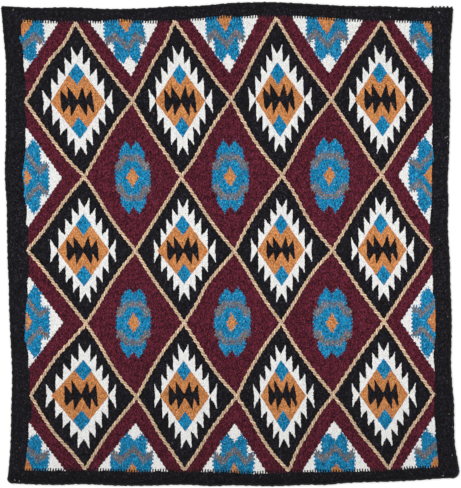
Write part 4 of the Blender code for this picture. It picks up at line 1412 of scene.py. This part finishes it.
outlines = []
for name, (level, side) in outline_levels.items():
    laid = wind(name, [outline_path(way, chain, level, side) for way, chain in chains], outline_wool,
                outline_turn, outline_strand, outline_spread, strands=2, points_a_turn=13)
    strand_tones(laid, side)
    outlines.append(laid)
    print(name, "has", triangles(laid), "triangles")

# %% [markdown]
# ## Edge cords and corner whippings
#
# A three-strand twisted cord of black wool is woven in along each edge. The side cords run on round the rounded
# corners, and the end cords meet them there. Each corner is whipped: yarn is wound tightly round the cords, which
# holds the four ends together. The far right corner has been mended with five overcast stitches.

# %% Cords along the four edges
edge_strand = 0.0024
edge_spread = 0.00128
edge_turn = 0.013
cord_height = 0.00394
cord_inset = 0.0025

cords = {}
for name, number, share in (("side_cord_left", 0, 0.98), ("end_cord_far", 1, 0.02), ("side_cord_right", 2, 0.98),
                            ("end_cord_near", 3, 0.02)):
    path = edge_path(number, cord_inset, cord_inset, share)
    cords[name] = wind(name, [flat(path, cord_height)], edge_wool, edge_turn, edge_strand, edge_spread, strands=3)
    print(name, "is", round(path_length(path), 3), "m long, with", len(cords[name].data.polygons), "faces")

# %% Whip the corners
whipping_yarn = 0.0013
whipping_coil = 0.0028
whipping_pitch = 0.0016
arc_steps = 16

whippings = {}
for number, name in enumerate(corner_names):
    arc = [on_corner(number, k / arc_steps, cord_inset) for k in range(arc_steps + 1)]
    reach = path_length(arc)
    turns = round(reach / whipping_pitch)
    whippings[name] = wind(f"corner_whipping_{name}", [flat(arc, cord_height)], edge_wool, reach / turns,
                           whipping_yarn, whipping_coil, points_a_turn=14)
    print("whipping", name, "turns", turns, "times in", round(1000 * reach, 1), "mm")

# %% Mend the far right corner
mend_start = 0.3925
mend_turn = 0.0074
mend_yarn = 0.0028
mend_coil = 0.0036
mend_press = 0.74
mend_steps = 24
round_corner = 1 / 3  # how much of the corner it covers

stop = corner_ends[1][0]
run = [beside(1, mend_start + (stop - mend_start) * k / mend_steps, cord_inset) for k in range(mend_steps + 1)]
run += [on_corner(1, round_corner * k / 4, cord_inset) for k in range(1, 5)]
mend = wind("overcast_stitches", [flat(run, cord_height, mend_press)], edge_wool, mend_turn, mend_yarn, mend_coil,
            points_a_turn=18, sides=8, start=0.25)
print("overcast stitches:", round(path_length(run) / mend_turn, 1))

# %% Tie off the warps
tie_yarn = 0.001
tie_turn = 0.004
tie_foot = 0.0058
tie_rise = 0.0021
tie_steps = (-0.5, -0.4, -0.25, -0.1, 0.1, 0.25, 0.4, 0.5)

# Each tie stitch: its middle, the way it runs in degrees, and its length.
ties = {
    "tie_stitches_far": ((-0.4242, 0.4554, 60, 0.003), (0.4012, 0.4593, 10, 0.0034), (0.407, 0.4506, 330, 0.005),
                         (0.3283, 0.4554, 80, 0.0028), (0.3119, 0.4418, 75, 0.0036), (0.421, 0.2068, 24, 0.0085),
                         (0.4234, 0.1947, 70, 0.002)),
    "tie_stitches_near": ((-0.4211, -0.4625, 120, 0.003), (-0.4125, -0.4644, 70, 0.0034),
                          (0.4148, -0.4537, 20, 0.0034), (0.4324, -0.4136, 80, 0.0024), (0.4265, -0.3332, 60, 0.0024),
                          (0.4328, -0.3586, 100, 0.002), (0.4238, -0.1432, 90, 0.002)),
}
for name, places in ties.items():
    paths = []
    for x, y, angle, length in places:
        way = Vector((math.cos(math.radians(angle)), math.sin(math.radians(angle)))) * length
        paths.append([(x + way.x * t, y + way.y * t, tie_foot + tie_rise * (1 - 4 * t * t), 1.0) for t in tie_steps])
    ties[name] = wind(name, paths, stitch_wool, tie_turn, tie_yarn)
    print(name, "has", len(places), "stitches")

# %% [markdown]
# ## Every piece joins the frame
#
# The blanket folds across its middle. A piece that lies on one half rides on it. A piece that crosses the fold stays
# where it lies, unbent.

# %% Ride or stay
fold_line = field_near + 0.4885 * (field_far - field_near)  # the middle row of crossings, where the solids part
fold_height = 0.0092
bend_start = (0, fold_line - 0.002, fold_height)
bend_end = (0, fold_line + 0.016, fold_height)


def join_frame(piece, finish, *nodes):
    """A piece rides on the half it lies on, or stays where it lies if it crosses the fold, and stands for these solids.
    """
    y = numbers(piece.data.vertices, "co", 3)[:, 1]
    low, high = y.min(), y.max()
    if high <= bend_start[1]:
        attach(piece, "near_half")
    elif low >= bend_end[1]:
        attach(piece, "far_half")
    else:
        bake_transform(piece)
    if nodes:
        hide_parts(*nodes)


def solids_of(name):
    """The solid of this name, or its two parts where the fold cuts it."""
    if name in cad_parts:
        return [name]
    stem, number = name.rsplit("_", 1) if "middle" in name else (name, "")
    return [f"{stem}_{word}_{number}".rstrip("_") for word in ("far", "near")]


print("a middle eye diamond stands for", solids_of("eye_diamond_middle_1"))

# %% Join the sheets
for name, (piece, area) in sheets.items():
    solids = solids_of(name)
    under = [f"{layer}_{word}" for layer in ("warp_sheet", "underside_weft") for word in ("far", "near")
             if any(word in solid for solid in solids)]
    join_frame(piece, "black_wool" if "eye" in name or "border" in name else "burgundy_wool", *solids, *under)
    width, length, _ = map(float, np.ptp(numbers(piece.data.vertices, "co", 3).astype(float), axis=0))
print("sheets joined:", len(sheets), "in all", round(sum(area for _, area in sheets.values()), 3), "square metres")

# %% Join the cords and stitches
for piece in outlines:
    join_frame(piece, "tan_wool", "outline_net_far", "outline_net_near")
for name, piece in cords.items():
    join_frame(piece, "edge_cord", *solids_of(name))
for name, piece in whippings.items():
    join_frame(piece, "whipping_yarn", f"corner_whipping_{name}")
join_frame(mend, "whipping_yarn")
for piece in ties.values():
    join_frame(piece, "undyed_warp")
dressed = [*(piece for piece, _ in sheets.values()), *outlines, *cords.values(), *whippings.values(), mend,
           *ties.values()]
sizes = [triangles(piece) for piece in dressed]
print("pieces joined:", len(sizes), "with", sum(sizes), "triangles, at most", max(sizes))

# %% Finish
print("both boxes are kept for", len(dressed), "pieces")
